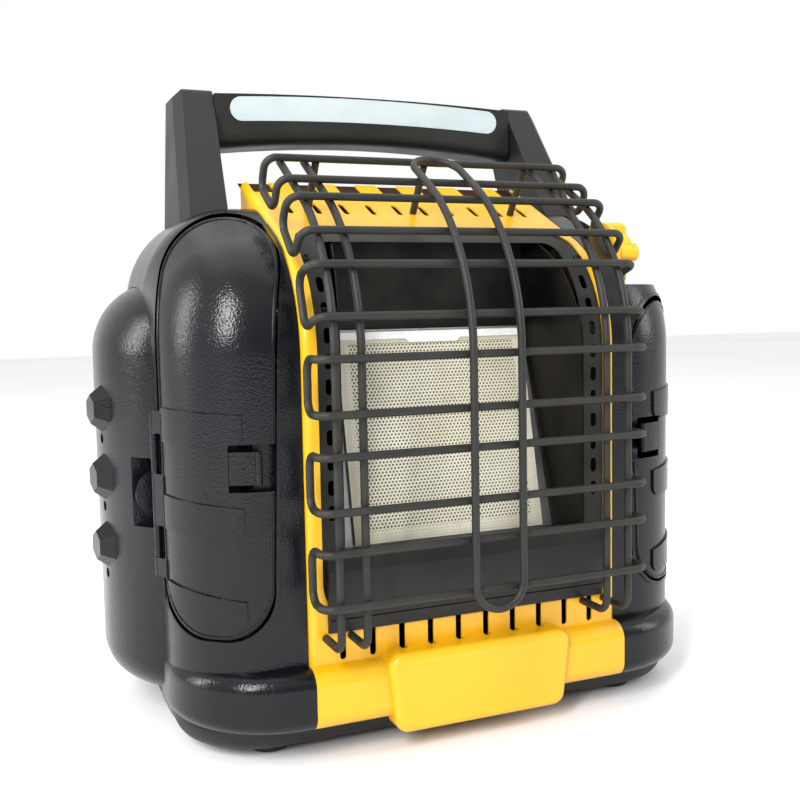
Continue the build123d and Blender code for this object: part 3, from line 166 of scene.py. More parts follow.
def add_node(tree, kind, settings=None, links=None):
    """Add a node; settings name its attributes or sockets, links name what feeds a socket."""
    node = tree.nodes.new(kind)
    for key, value in (settings or {}).items():
        if isinstance(key, str) and hasattr(node, key):
            setattr(node, key, value)
        else:
            node.inputs[key].default_value = value
    for key, source in (links or {}).items():
        tree.links.new(source, node.inputs[key])
    return node


print("white is", linear("#FFFFFF"))

# %% [markdown]
# ## What every finish has
#
# No real surface is one flat colour. Every finish drifts between two close shades, over patches
# of a real size, and every one on the heater also has a fine bump of its own grain. Both are
# given in millimetres and read the object's own coordinates, so they keep their size anywhere.

# %% Finish helpers
PATCH_FROM = 0.35
PATCH_TO = 0.65


def new_finish(name, settings):
    """A material with a Principled shader, and its tree, shader and place on the object."""
    material = bpy.data.materials.new(name)
    material.use_nodes = True
    tree = material.node_tree
    shader = tree.nodes["Principled BSDF"]
    for key, value in settings.items():
        shader.inputs[key].default_value = value
    place = add_node(tree, "ShaderNodeTexCoord").outputs["Object"]
    return material, tree, shader, place


def grain(tree, shader, place, grain_mm, height_mm, detail=2.0):
    """A fine bump of one grain size over the whole surface."""
    noise = add_node(
        tree, "ShaderNodeTexNoise",
        {"Scale": 1 / (grain_mm * MM), "Detail": detail, "Roughness": 0.6}, {"Vector": place})
    bump = add_node(
        tree, "ShaderNodeBump", {"Strength": 1.0, "Distance": height_mm * MM},
        {"Height": noise.outputs["Fac"]})
    tree.links.new(bump.outputs["Normal"], shader.inputs["Normal"])


def tint(tree, place, patch_mm, light, dark):
    """A slow change between two close shades; gives the colour and the pattern behind it."""
    noise = add_node(
        tree, "ShaderNodeTexNoise", {"Scale": 1 / (patch_mm * MM), "Detail": 3.0},
        {"Vector": place})
    spread = add_node(
        tree, "ShaderNodeMapRange", {"From Min": PATCH_FROM, "From Max": PATCH_TO},
        {"Value": noise.outputs["Fac"]})
    mix = add_node(
        tree, "ShaderNodeMix", {"data_type": "RGBA", 6: linear(light), 7: linear(dark)},
        {0: spread.outputs["Result"]})
    return mix.outputs[2], spread.outputs["Result"]


def tint_surface(tree, shader, place, patch_mm, light, dark):
    """Tint the whole surface; gives the pattern of the tint."""
    shade, amount = tint(tree, place, patch_mm, light, dark)
    tree.links.new(shade, shader.inputs["Base Color"])
    return amount


def wear_rough(tree, shader, amount, low, high):
    """Roughness that drifts between two values with a pattern."""
    rough = add_node(
        tree, "ShaderNodeMapRange", {"To Min": low, "To Max": high}, {"Value": amount})
    tree.links.new(rough.outputs["Result"], shader.inputs["Roughness"])


print("shades change between noise values", PATCH_FROM, "and", PATCH_TO)

# %% [markdown]
# ## The room
#
# The wall behind the heater and the ceiling are white, and the room on the near side is dimmer.
# Black plastic then mirrors a dim room with the soft boxes in it, which keeps it black between
# its highlights. The change follows the directions of the room itself, the same for every view.

# %% Room light
ROOM_FAR = "#FFFFFF"
ROOM_NEAR = "#A9ABAE"
DIM_BELOW = -0.8
WHITE_ABOVE = 0.2
world = bpy.data.worlds.new("pale_room")
bpy.context.scene.world = world
world.use_nodes = True
room = world.node_tree
heading = add_node(room, "ShaderNodeSeparateXYZ", links={
    "Vector": add_node(room, "ShaderNodeTexCoord").outputs["Generated"]})
back_and_up = add_node(
    room, "ShaderNodeMath", {"operation": "ADD"},
    {0: heading.outputs["Y"], 1: heading.outputs["Z"]})
side = add_node(
    room, "ShaderNodeMapRange",
    {"From Min": DIM_BELOW, "From Max": WHITE_ABOVE, "interpolation_type": "SMOOTHSTEP"},
    {"Value": back_and_up.outputs[0]})
walls = add_node(room, "ShaderNodeMix", {
    "data_type": "RGBA", 6: linear(ROOM_NEAR), 7: linear(ROOM_FAR)}, {0: side.outputs["Result"]})
room.links.new(walls.outputs[2], room.nodes["Background"].inputs["Color"])
bpy.context.scene.view_settings.view_transform = "Standard"
print("room from", ROOM_NEAR, "to", ROOM_FAR)

# %% [markdown]
# ## Painted floor
#
# The floor only has to be pale and even. A trace of tone keeps it from looking like empty space.

# %% Floor finish
floor_finish, tree, shader, place = new_finish("matte_white_backdrop", {"Roughness": 0.75})
tint_surface(tree, shader, place, 900, "#F6F6F7", "#F1F1F3")
floor.data.materials.append(floor_finish)
print("floor wears", floor_finish.name)

# %% [markdown]
# ## Moulded black plastic
#
# The covers and doors are injection-moulded ABS. The steel mould was spark-eroded, which leaves a
# fine pebble that breaks highlights into bright specks. The real pebble is well under a
# millimetre across, too fine to show, so it is drawn as a bump of a millimetre and a half. The
# roughness drifts a little, as handled plastic does.

# %% Black plastic
GRAIN_MM = 1.5
black_plastic, tree, shader, place = new_finish(
    "spark_textured_ABS", {"Roughness": 0.22, "IOR": 1.38})
amount = tint_surface(tree, shader, place, 60, "#0A0C0F", "#101316")
wear_rough(tree, shader, amount, 0.18, 0.26)
grain(tree, shader, place, GRAIN_MM, 0.22, detail=1.0)
print("covers wear", black_plastic.name)

# %% [markdown]
# ## Handle plastic
#
# The handle is nylon filled with glass fibre. It could share the finish of the covers, but it is
# duller and a little lighter, so it has its own, with a finer grain and more roughness.

# %% Handle plastic
handle_plastic, tree, shader, place = new_finish(
    "glass_filled_nylon", {"Roughness": 0.5, "IOR": 1.4})
amount = tint_surface(tree, shader, place, 40, "#191A18", "#20211E")
wear_rough(tree, shader, amount, 0.46, 0.58)
grain(tree, shader, place, 0.9, 0.06)
print("handle wears", handle_plastic.name)

# %% [markdown]
# ## Yellow paint on sheet steel
#
# The front is pressed steel with a baked polyester powder coat. It is smooth, with the faint
# orange peel that powder leaves when it melts, a few millimetres from wave to wave.

# %% Yellow powder coat
PEEL_MM = 3.0
yellow_paint, tree, shader, place = new_finish(
    "polyester_powder_coat_yellow",
    {"Roughness": 0.34, "Coat Weight": 0.25, "Coat Roughness": 0.2})
tint_surface(tree, shader, place, 90, "#EDB50F", "#E7AE0A")
grain(tree, shader, place, PEEL_MM, 0.02, detail=1.0)
print("front wears", yellow_paint.name)

# %% [markdown]
# ## Knob plastic
#
# The knob is moulded in nearly the same yellow as the front. Plastic has no orange peel, so the
# waves of the paint give way to a fine grain, and there is no clear coat over it.

# %% Knob plastic
knob_plastic, tree, shader, place = new_finish(
    "moulded_nylon_yellow", {"Roughness": 0.42, "IOR": 1.53})
tint_surface(tree, shader, place, 20, "#EFB811", "#E9B10B")
grain(tree, shader, place, 0.8, 0.03)
print("knob wears", knob_plastic.name)

# %% [markdown]
# ## Coated wire and bezel
#
# The guard is bent steel wire with an epoxy powder coat that stands up to heat. It is matte, a
# shade warmer than the plastic, and slightly rough to the eye. The bezel, the lower lip and the
# tray have a darker enamel.

# %% Matte coats
guard_coat, tree, shader, place = new_finish(
    "epoxy_powder_coat", {"Roughness": 0.5, "IOR": 1.42})
tint_surface(tree, shader, place, 25, "#20211E", "#282925")
grain(tree, shader, place, 0.9, 0.05)

bezel_paint, tree, shader, place = new_finish(
    "stove_enamel_matte", {"Roughness": 0.5, "IOR": 1.42})
amount = tint_surface(tree, shader, place, 50, "#161715", "#1C1D1A")
wear_rough(tree, shader, amount, 0.44, 0.56)
grain(tree, shader, place, 1.0, 0.04)
print("guard and bezel wear", guard_coat.name, "and", bezel_paint.name)

# %% [markdown]
# ## Fireclay tile
#
# The burner is a pressed ceramic tile with thousands of fine holes in a honeycomb. The tile is
# cream, and painted shade darkens its holes with depth. The tile leans back, so depth is measured
# along the direction that it faces, and one slow drift of tone stands for the uneven firing.

# %% Ceramic finish
TILE_WIDTH = 140
TILE_HEIGHT = 141
TILE_LEAN = math.radians(11.9)
TILE_FOOT = at(0, 28, 125)
tile_out = Vector((0, -math.cos(TILE_LEAN), math.sin(TILE_LEAN)))
tile_up = Vector((0, math.sin(TILE_LEAN), math.cos(TILE_LEAN)))
# The holes get a painted shade: full from half a millimetre below the tile's face, gone just above
# it.
PIT_SHADE_BELOW = 0.5
UNSHADED_ABOVE = 0.1

tile_ceramic, tree, shader, place = new_finish("pressed_cordierite_tile", {"Roughness": 0.9})
shade, _ = tint(tree, place, 45, "#ECE8D6", "#D9D4BC")
out_of_face = add_node(
    tree, "ShaderNodeVectorMath", {"operation": "DOT_PRODUCT", 1: tile_out}, {0: place})
face_level = TILE_FOOT.dot(tile_out)
depth = add_node(
    tree, "ShaderNodeMapRange",
    {"From Min": face_level - PIT_SHADE_BELOW * MM, "From Max": face_level + UNSHADED_ABOVE * MM},
    {"Value": out_of_face.outputs["Value"]})
# The olive colour is the painted shade in the holes.
clay_and_pit_shade = add_node(
    tree, "ShaderNodeMix", {"data_type": "RGBA", 6: linear("#77724F")},
    {0: depth.outputs["Result"], 7: shade})
tree.links.new(clay_and_pit_shade.outputs[2], shader.inputs["Base Color"])
grain(tree, shader, place, 0.8, 0.05)
print("tile faces", [round(v, 3) for v in tile_out])

# %% [markdown]
# ## Fibre gasket
#
# The strip over the tile is ceramic-fibre felt. It is chalk white with hardly any gloss, and a
# bump of small grains stands for its fibres, which are too fine to draw one by one.

# %% Fibre gasket
fibre_felt, tree, shader, place = new_finish("ceramic_fibre_felt", {"Roughness": 0.95})
tint_surface(tree, shader, place, 6, "#FAF9F6", "#F0EFEA")
grain(tree, shader, place, 0.7, 0.1)
print("gasket wears", fibre_felt.name)

# %% [markdown]
# ## Bare metals
#
# Inside the firebox the steel has been blued by heat. The shield under the sloping top is brown,
# which is partly heat tint and partly painted shade for the slots above it. The burner's frame and
# the pipes are bright stainless, the jet and valve are brass, the regulators are die-cast zinc, and
# the bays are lined with galvanised steel. Metals keep the default IOR; their colour and roughness
# tell them apart.

# %% Steels, brass and zinc
METAL_GRAIN = 0.8
METAL_HEIGHT = 0.02


def metal(name, light, dark, rough, patch_mm=30):
    """A bare metal with a slow stain and a fine surface."""
    finish, tree, shader, place = new_finish(name, {"Metallic": 1.0, "Roughness": rough})
    amount = tint_surface(tree, shader, place, patch_mm, light, dark)
    wear_rough(tree, shader, amount, rough - 0.06, rough + 0.08)
    grain(tree, shader, place, METAL_GRAIN, METAL_HEIGHT)
    return finish


fire_steel = metal("heat_blued_steel", "#2B2A27", "#3A3834", 0.42)
bright_steel = metal("stainless_steel", "#D9DADA", "#C9CBCC", 0.3)
liner_steel = metal("galvanised_steel", "#8B8F92", "#A2A6A9", 0.45, patch_mm=12)
brass = metal("free_cutting_brass", "#C9A65B", "#B9944A", 0.32)
cast_metal = metal("die_cast_zinc", "#A9ABAC", "#9B9D9F", 0.45)
# The shield's brown is partly heat tint and partly painted shade for the slots above it.
shield_tint_and_shade = metal("heat_tint_and_painted_shade_steel", "#7A5238", "#5C4334", 0.4)
black_screw = metal("black_oxide_steel", "#34353A", "#2A2B2E", 0.38, patch_mm=4)
print("metals from", fire_steel.name, "to", black_screw.name)

# %% [markdown]
# ## Rubber, lens and circuit board
#
# The feet and the light's button are soft rubber. The light bar's lens is frosted
# polycarbonate, which hides the board and its row of light-emitting diodes behind a milky white.

# %% Soft and clear parts
rubber, tree, shader, place = new_finish("nitrile_rubber", {"Roughness": 0.75})
tint_surface(tree, shader, place, 15, "#1A1A1A", "#222221")
grain(tree, shader, place, 0.7, 0.05)

lens_plastic, tree, shader, place = new_finish(
    "frosted_polycarbonate", {"Roughness": 0.28, "IOR": 1.58, "Subsurface Weight": 0.15})
tint_surface(tree, shader, place, 35, "#CAD2D4", "#C0CACD")
grain(tree, shader, place, 0.9, 0.02)

circuit_board, tree, shader, place = new_finish(
    "fibreglass_laminate", {"Roughness": 0.4, "IOR": 1.5})
tint_surface(tree, shader, place, 10, "#1F5C34", "#184D2B")
grain(tree, shader, place, 0.8, 0.02)
print("soft and clear:", rubber.name, lens_plastic.name, circuit_board.name)

# %% [markdown]
# ## Dress the solid parts
#
# Each solid part already has the right shape, so it only needs its finish. The record names a
# material slot for every part, and a table pairs those names with the finishes made above. The
# heat shield shares its slot with the firebox, but it is brown, partly heat tint and partly painted
# shade, so it is changed afterwards.

# %% Put the finishes on
finishes = {
    "yellow_paint": yellow_paint,
    "bezel_paint": bezel_paint,
    "fire_steel": fire_steel,
    "tile_ceramic": tile_ceramic,
    "bright_steel": bright_steel,
    "brass": brass,
    "cast_metal": cast_metal,
    "liner_steel": liner_steel,
    "black_plastic": black_plastic,
    "handle_plastic": handle_plastic,
    "guard_coat": guard_coat,
    "knob_plastic": knob_plastic,
    "rubber": rubber,
    "lens_plastic": lens_plastic,
    "circuit_board": circuit_board,
}
slot_of = {part["node"]: part["material_slot"] for part in frame["record"]["subparts"]}
for name, node in nodes.items():
    node.data.materials.clear()
    node.data.materials.append(finishes[slot_of[name]])
# The heat shield wears the brown of heat tint and painted shade.
nodes["heat_shield"].data.materials[0] = shield_tint_and_shade
print("dressed", len(slot_of), "parts")

# %% [markdown]
# ## Helpers for small parts
#
# A small part starts as mesh data, is handed to a body that carries it, and names the finish it
# wears. Each one lies in place within its own mesh, with its object at the origin, so that a
# pattern measured in millimetres stays put on it.

# %% Making a part
def new_part(name, mesh, finish, body="heater", smooth=False):
    """Put a mesh in the scene as a part that rides on a body."""
    part = bpy.data.objects.new(name, mesh)
    bpy.context.scene.collection.objects.link(part)
    if not mesh.materials:
        mesh.materials.append(finish)
    if smooth:
        mesh.shade_smooth()
    else:
        mesh.shade_flat()
    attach(part, body)
    return part


def on_tile(across, along, out=0.0):
    """A point on the leaning tile, in millimetres from the middle of its foot."""
    aside = Vector((across * MM, 0, 0))
    return TILE_FOOT + aside + tile_up * (along * MM) + tile_out * (out * MM)


print("tile top at", [round(v, 4) for v in on_tile(0, TILE_HEIGHT)])

# %% [markdown]
# ## Holes of the tile
#
# A honeycomb is one cell repeated, so Geometry Nodes is the natural tool: a grid of points, every
# second row shifted by half a step, and one cell on each. The cell is a six-sided ring with a pit
# in the middle. The real pitch is about a millimetre and a half; it is drawn at 2.6 mm here, so
# that the holes still show from across the room. The cells meet edge to edge, and merging turns
# them into one pierced plate.

# %% One cell
HOLE_PITCH = 2.6
HOLE_SHARE = 0.62
PIT_TAPER = 0.8
PIT_DEPTH = 0.9
CELL_SIDES = 6


def cell_mesh():
    """A flat six-sided ring with a pit, facing up, as wide as the pitch."""
    mesh = bpy.data.meshes.new("tile_cell")
    corner = HOLE_PITCH * MM / math.sqrt(3)
    rings = [(1.0, 0), (HOLE_SHARE, 0), (HOLE_SHARE * PIT_TAPER, -PIT_DEPTH * MM)]
    points = []
    for share, level in rings:
        for k in range(CELL_SIDES):
            turn = math.pi / 6 + k * math.pi / 3
            points.append((corner * share * math.cos(turn), corner * share * math.sin(turn), level))
    faces = []
    for outer in (0, CELL_SIDES):
        inner = outer + CELL_SIDES
        for k in range(CELL_SIDES):
            after = (k + 1) % CELL_SIDES
            faces.append((outer + k, outer + after, inner + after, inner + k))
    pit_floor = tuple(range(2 * CELL_SIDES, 3 * CELL_SIDES))
    mesh.from_pydata(points, [], faces + [pit_floor])
    return mesh


cell = bpy.data.objects.new("tile_cell", cell_mesh())
print("cell faces:", len(cell.data.polygons))

# %% [markdown]
# ## Helpers for Geometry Nodes
#
# A Geometry Nodes tree grows one shape from another. The first helper makes an empty tree with
# named inputs. The second runs a tree once and keeps plain mesh data, so nothing is left to run
# when the heater is used elsewhere.

# %% Growing a shape
def node_group(name, inputs):
    """An empty Geometry Nodes tree with named inputs; gives the tree, its ends and the sockets."""
    group = bpy.data.node_groups.new(name, "GeometryNodeTree")
    sockets = {}
    group.interface.new_socket("Geometry", in_out="INPUT", socket_type="NodeSocketGeometry")
    for label, (kind, value) in inputs.items():
        socket = group.interface.new_socket(label, in_out="INPUT", socket_type=kind)
        if value is not None:
            socket.default_value = value
        sockets[label] = socket.identifier
    group.interface.new_socket("Geometry", in_out="OUTPUT", socket_type="NodeSocketGeometry")
    return group, group.nodes.new("NodeGroupInput"), group.nodes.new("NodeGroupOutput"), sockets


def grown_mesh(name, start, group, settings):
    """Run a node group on a starting mesh and keep the plain mesh that comes out."""
    seed = bpy.data.objects.new(name, start)
    bpy.context.scene.collection.objects.link(seed)
    modifier = seed.modifiers.new("grow", "NODES")
    modifier.node_group = group
    for identifier, value in settings.items():
        modifier[identifier] = value
    graph = bpy.context.evaluated_depsgraph_get()
    shape = bpy.data.meshes.new_from_object(seed.evaluated_get(graph))
    seed.modifiers.remove(modifier)
    bpy.data.objects.remove(seed)
    return shape


print("node groups so far:", len(bpy.data.node_groups))

# %% [markdown]
# ## The honeycomb
#
# The tree counts its points, works out the row and column of each, shifts every odd row by half
# a step and puts a cell on each point. Thousands of cells then cost no more to write than one.

# %% Grow the honeycomb
MARGIN = 1.6
RIM_TOP = 8.0
MERGE_WITHIN = 0.02
columns = int((TILE_WIDTH - 2 * MARGIN) / HOLE_PITCH) - 1
row_step = HOLE_PITCH * math.sqrt(3) / 2
rows = int((TILE_HEIGHT - RIM_TOP - MARGIN) / row_step)

comb, start, end, sockets = node_group("honeycomb", {
    "Columns": ("NodeSocketInt", columns),
    "Rows": ("NodeSocketInt", rows),
    "Pitch": ("NodeSocketFloat", HOLE_PITCH * MM),
    "Cell": ("NodeSocketObject", None),
    "Finish": ("NodeSocketMaterial", None),
})
count = add_node(comb, "ShaderNodeMath", {"operation": "MULTIPLY"}, {
    0: start.outputs["Columns"], 1: start.outputs["Rows"]})
seeds = add_node(comb, "GeometryNodeMeshLine", {"mode": "OFFSET"}, {"Count": count.outputs[0]})
index = add_node(comb, "GeometryNodeInputIndex")
row = add_node(comb, "ShaderNodeMath", {"operation": "DIVIDE"}, {
    0: index.outputs[0], 1: start.outputs["Columns"]})
row_whole = add_node(comb, "ShaderNodeMath", {"operation": "FLOOR"}, {0: row.outputs[0]})
column = add_node(comb, "ShaderNodeMath", {"operation": "FLOORED_MODULO"}, {
    0: index.outputs[0], 1: start.outputs["Columns"]})
odd = add_node(comb, "ShaderNodeMath", {"operation": "FLOORED_MODULO", 1: 2.0}, {
    0: row_whole.outputs[0]})
across = add_node(comb, "ShaderNodeMath", {"operation": "MULTIPLY_ADD", 1: 0.5}, {
    0: odd.outputs[0], 2: column.outputs[0]})
along = add_node(comb, "ShaderNodeMath", {"operation": "MULTIPLY", 1: math.sqrt(3) / 2}, {
    0: row_whole.outputs[0]})
grid = add_node(comb, "ShaderNodeCombineXYZ", links={
    "X": across.outputs[0], "Y": along.outputs[0]})
spread = add_node(comb, "ShaderNodeVectorMath", {"operation": "SCALE"}, {
    0: grid.outputs[0], "Scale": start.outputs["Pitch"]})
placed = add_node(comb, "GeometryNodeSetPosition", links={
    "Geometry": seeds.outputs[0], "Position": spread.outputs[0]})
source = add_node(comb, "GeometryNodeObjectInfo", links={"Object": start.outputs["Cell"]})
copies = add_node(comb, "GeometryNodeInstanceOnPoints", links={
    "Points": placed.outputs[0], "Instance": source.outputs["Geometry"]})
real = add_node(comb, "GeometryNodeRealizeInstances", links={"Geometry": copies.outputs[0]})
joined = add_node(comb, "GeometryNodeMergeByDistance", {"Distance": MERGE_WITHIN * MM}, {
    "Geometry": real.outputs[0]})
coated = add_node(comb, "GeometryNodeSetMaterial", links={
    "Geometry": joined.outputs[0], "Material": start.outputs["Finish"]})
comb.links.new(coated.outputs[0], end.inputs[0])

honeycomb = grown_mesh("tile_holes", bpy.data.meshes.new("seed"), comb, {
    sockets["Cell"]: cell, sockets["Finish"]: tile_ceramic})
print("honeycomb:", columns, "by", rows, "cells,", len(honeycomb.polygons), "faces")

# %% [markdown]
# ## Close the plate and lay it on the tile
#
# The pierced plate is given a thickness by pulling its outer edge down and filling the back. Then
# it is turned from lying flat to the lean of the tile.

# %% Plate on the tile
PLATE = 1.0
PLATE_LIFT = 0.25

shape = bmesh.new()
shape.from_mesh(honeycomb)
rim = [edge for edge in shape.edges if edge.is_boundary]
pulled = bmesh.ops.extrude_edge_only(shape, edges=rim)["geom"]
for part in pulled:
    if isinstance(part, bmesh.types.BMVert):
        part.co.z = -PLATE * MM
open_edges = [edge for edge in shape.edges if edge.is_boundary]
bmesh.ops.holes_fill(shape, edges=open_edges, sides=0)
width = (columns - 0.5) * HOLE_PITCH
height = (rows - 1) * row_step
foot = on_tile(-width / 2, (TILE_HEIGHT - RIM_TOP + MARGIN - height) / 2, PLATE_LIFT)
shape.transform(Matrix((
    (1, tile_up.x, tile_out.x, foot.x),
    (0, tile_up.y, tile_out.y, foot.y),
    (0, tile_up.z, tile_out.z, foot.z),
    (0, 0, 0, 1),
)))
bmesh.ops.recalc_face_normals(shape, faces=shape.faces)
shape.to_mesh(honeycomb)
shape.free()
new_part("burner_honeycomb", honeycomb, tile_ceramic)
print("plate", round(width, 1), "by", round(height, 1), "mm")

# %% [markdown]
# ## Gasket over the tile
#
# A strip of white felt seals the top of the tile. Its middle hangs a little lower, with slanted
# ends. It is one outline with a thickness, so its points are written down once and pulled out.

# %% Felt strip
def slab(name, outline, thickness, finish):
    """A flat shape of one thickness that lies on the tile's slope."""
    shape = bmesh.new()
    face = shape.faces.new([shape.verts.new(on_tile(a, b)) for a, b in outline])
    lifted = bmesh.ops.extrude_face_region(shape, geom=[face])["geom"]
    raised = [part for part in lifted if isinstance(part, bmesh.types.BMVert)]
    bmesh.ops.translate(shape, vec=tile_out * (thickness * MM), verts=raised)
    bmesh.ops.recalc_face_normals(shape, faces=shape.faces)
    mesh = bpy.data.meshes.new(name)
    shape.to_mesh(mesh)
    shape.free()
    return new_part(name, mesh, finish)


GASKET_LEFT, GASKET_RIGHT = -69, 66
GASKET_TOP = TILE_HEIGHT - 0.3
GASKET_LOW = TILE_HEIGHT - 5.5
GASKET_TAB = TILE_HEIGHT - 8.2
GASKET_THICK = 1.6
gasket = slab("burner_gasket", [
    (GASKET_LEFT, GASKET_TOP), (GASKET_LEFT, GASKET_LOW),
    (-21, GASKET_LOW), (-18.5, GASKET_TAB), (18, GASKET_TAB), (20.5, GASKET_LOW),
    (GASKET_RIGHT, GASKET_LOW), (GASKET_RIGHT, GASKET_TOP),
], GASKET_THICK, fibre_felt)
print("gasket:", len(gasket.data.polygons), "faces")

# %% [markdown]
# ## Beads round the doors
#
# Each door has a rolled bead just inside its edge, which catches a thin line of light. A bead is
# a round section that follows a path, and the path lies on a curved door. So the door's outline
# is drawn flat in front of it, and Geometry Nodes drops every point straight back onto the door,
# then runs a small circle along it. The bead stops above and below the latch window.

# %% Outline of a door
DOOR_FACING = math.radians(22)
DOOR_MIDDLE = (155.5, 34)
DOOR_HALF = 40.4
DOOR_FOOT = 78
DOOR_TAPER = 7
DOOR_FOOT_RADIUS = 30
DOOR_TOPS = {"left_door": 341.4, "right_door": 281.5}
BEAD_INSET = 2.7
WINDOW = (168.5, 200.5)
ARCH_STEPS = 40
CORNER_STEPS = 16


def door_outline(top):
    """Across and height of points round a door, from over the latch window to under it."""
    half = DOOR_HALF - BEAD_INSET
    foot = DOOR_FOOT + BEAD_INSET
    spring = top - BEAD_INSET - half
    radius = DOOR_FOOT_RADIUS
    lean = math.atan2(DOOR_TAPER, spring - foot)
    front_foot = half - DOOR_TAPER

    def front_edge(z):
        return (front_foot + (z - foot) * math.tan(lean), z)

    def arc(middle, size, first, last, steps=CORNER_STEPS):
        turns = [first + (last - first) * k / steps for k in range(steps + 1)]
        return [(middle[0] + size * math.cos(t), middle[1] + size * math.sin(t)) for t in turns]

    centre = front_foot - radius * (1 - math.sin(lean)) / math.cos(lean)
    return (
        [front_edge(WINDOW[1])]
        + arc((0, spring), half, 0, math.pi, ARCH_STEPS)
        + arc((radius - half, foot + radius), radius, math.pi, 1.5 * math.pi)
        + arc((centre, foot + radius), radius, -0.5 * math.pi, -lean)
        + [front_edge(WINDOW[0])]
    )


print("outline points:", len(door_outline(DOOR_TOPS["left_door"])))

# %% [markdown]
# ## A bead that follows a surface
#
# The tree makes the path a curve, spaces its points evenly, drops them onto the door and sweeps
# a circle along them. A bead could be drawn by hand on each door, but this way both doors use
# one tree, and it follows whatever surface it is given.

# %% A bead that follows a surface
BEAD_RADIUS = 0.9
BEAD_STEP = 1.5
BEAD_SIDES = 10
RAY_REACH = 1.0

bead, start, end, sockets = node_group("bead_on_surface", {
    "Surface": ("NodeSocketObject", None),
    "Towards": ("NodeSocketVector", None),
    "Step": ("NodeSocketFloat", BEAD_STEP * MM),
    "Radius": ("NodeSocketFloat", BEAD_RADIUS * MM),
    "Finish": ("NodeSocketMaterial", None),
})
path = add_node(bead, "GeometryNodeMeshToCurve", links={"Mesh": start.outputs["Geometry"]})
even = add_node(bead, "GeometryNodeResampleCurve", {"mode": "LENGTH"}, {
    "Curve": path.outputs[0], "Length": start.outputs["Step"]})
surface = add_node(bead, "GeometryNodeObjectInfo", links={"Object": start.outputs["Surface"]})
drop = add_node(bead, "GeometryNodeRaycast", {"Ray Length": RAY_REACH}, {
    "Target Geometry": surface.outputs["Geometry"], "Ray Direction": start.outputs["Towards"]})
laid = add_node(bead, "GeometryNodeSetPosition", links={
    "Geometry": even.outputs[0], "Selection": drop.outputs["Is Hit"],
    "Position": drop.outputs["Hit Position"]})
ring = add_node(
    bead, "GeometryNodeCurvePrimitiveCircle", {"mode": "RADIUS", "Resolution": BEAD_SIDES},
    {"Radius": start.outputs["Radius"]})
swept = add_node(bead, "GeometryNodeCurveToMesh", {"Fill Caps": True}, {
    "Curve": laid.outputs[0], "Profile Curve": ring.outputs[0]})
real = add_node(bead, "GeometryNodeRealizeInstances", links={"Geometry": swept.outputs[0]})
coated = add_node(bead, "GeometryNodeSetMaterial", links={
    "Geometry": real.outputs[0], "Material": start.outputs["Finish"]})
bead.links.new(coated.outputs[0], end.inputs[0])
print("bead tree:", len(bead.nodes), "nodes")

# %% [markdown]
# ## Beads on both doors
#
# The outline is held in front of each door, turned the way the door faces, and the tree drops it
# straight back. Each bead rides on its own door, so that the two move as one.

# %% Beads on both doors
STAND_OFF = 80
for name, side in (("left_door", -1), ("right_door", 1)):
    facing = Vector((side * math.sin(DOOR_FACING), -math.cos(DOOR_FACING), 0))
    across = Vector((-side * math.cos(DOOR_FACING), -math.sin(DOOR_FACING), 0))
    middle = at(side * DOOR_MIDDLE[0], DOOR_MIDDLE[1], 0) + facing * (STAND_OFF * MM)
    outline = door_outline(DOOR_TOPS[name])
    points = [middle + across * (u * MM) + Vector((0, 0, z * MM)) for u, z in outline]
    path_mesh = bpy.data.meshes.new("door_path")
    path_mesh.from_pydata(points, [(k, k + 1) for k in range(len(points) - 1)], [])
    shape = grown_mesh(name + "_path", path_mesh, bead, {
        sockets["Surface"]: nodes[name], sockets["Towards"]: -facing,
        sockets["Finish"]: black_plastic})
    new_part(name + "_bead", shape, black_plastic, body=name, smooth=True)
    print(name, "bead:", len(shape.polygons), "faces")

# %% [markdown]
# ## Screws
#
# Small pan-head screws hold the bezel, the rear cover and the tray. One head is a dome with a
# cross cut in it, built ring by ring from a short profile, with a point of every ring for each
# corner of the cross, so that neighbouring rings join up.

# %% One screw head
HEAD_RADIUS = 2.9
HEAD_HEIGHT = 1.5
CROSS_REACH = 0.55
CROSS_HALF = 0.14
DOME = ((1.0, 0.0), (1.0, 0.35), (0.86, 0.72), (CROSS_REACH + 0.07, 0.93))
CROSS_LEVELS = (1.0, 0.45)


def screw_head():
    """A domed head facing up, with a sunk cross."""
    shape = bmesh.new()
    arm, half = CROSS_REACH, CROSS_HALF
    cross = [
        (arm, half), (half, half), (half, arm), (-half, arm), (-half, half), (-arm, half),
        (-arm, -half), (-half, -half), (-half, -arm), (half, -arm), (half, -half), (arm, -half),
    ]
    turns = [math.atan2(y, x) for x, y in cross]
    rings = []
    for share, level in DOME:
        rings.append([shape.verts.new((
            HEAD_RADIUS * share * math.cos(t), HEAD_RADIUS * share * math.sin(t),
            HEAD_HEIGHT * level,
        )) for t in turns])
    for level in CROSS_LEVELS:
        rings.append([shape.verts.new((
            HEAD_RADIUS * x, HEAD_RADIUS * y, HEAD_HEIGHT * level)) for x, y in cross])
    for low, high in zip(rings, rings[1:]):
        for k in range(len(turns)):
            after = (k + 1) % len(turns)
            shape.faces.new((low[k], low[after], high[after], high[k]))
    shape.faces.new(rings[-1])
    shape.faces.new(rings[0])
    bmesh.ops.recalc_face_normals(shape, faces=shape.faces)
    bmesh.ops.scale(shape, vec=(MM, MM, MM), verts=shape.verts)
    mesh = bpy.data.meshes.new("screw_head")
    shape.to_mesh(mesh)
    shape.free()
    return bpy.data.objects.new("screw_head", mesh)


head_shape = screw_head()
print("one head:", len(head_shape.data.polygons), "faces")

# %% [markdown]
# ## Screws on a surface
#
# Geometry Nodes drops each point onto the surface, turns a copy of the head to face the way the
# surface faces, and keeps it there. The heads could be placed one by one, but then each would
# need a height and a direction that the surface already knows.

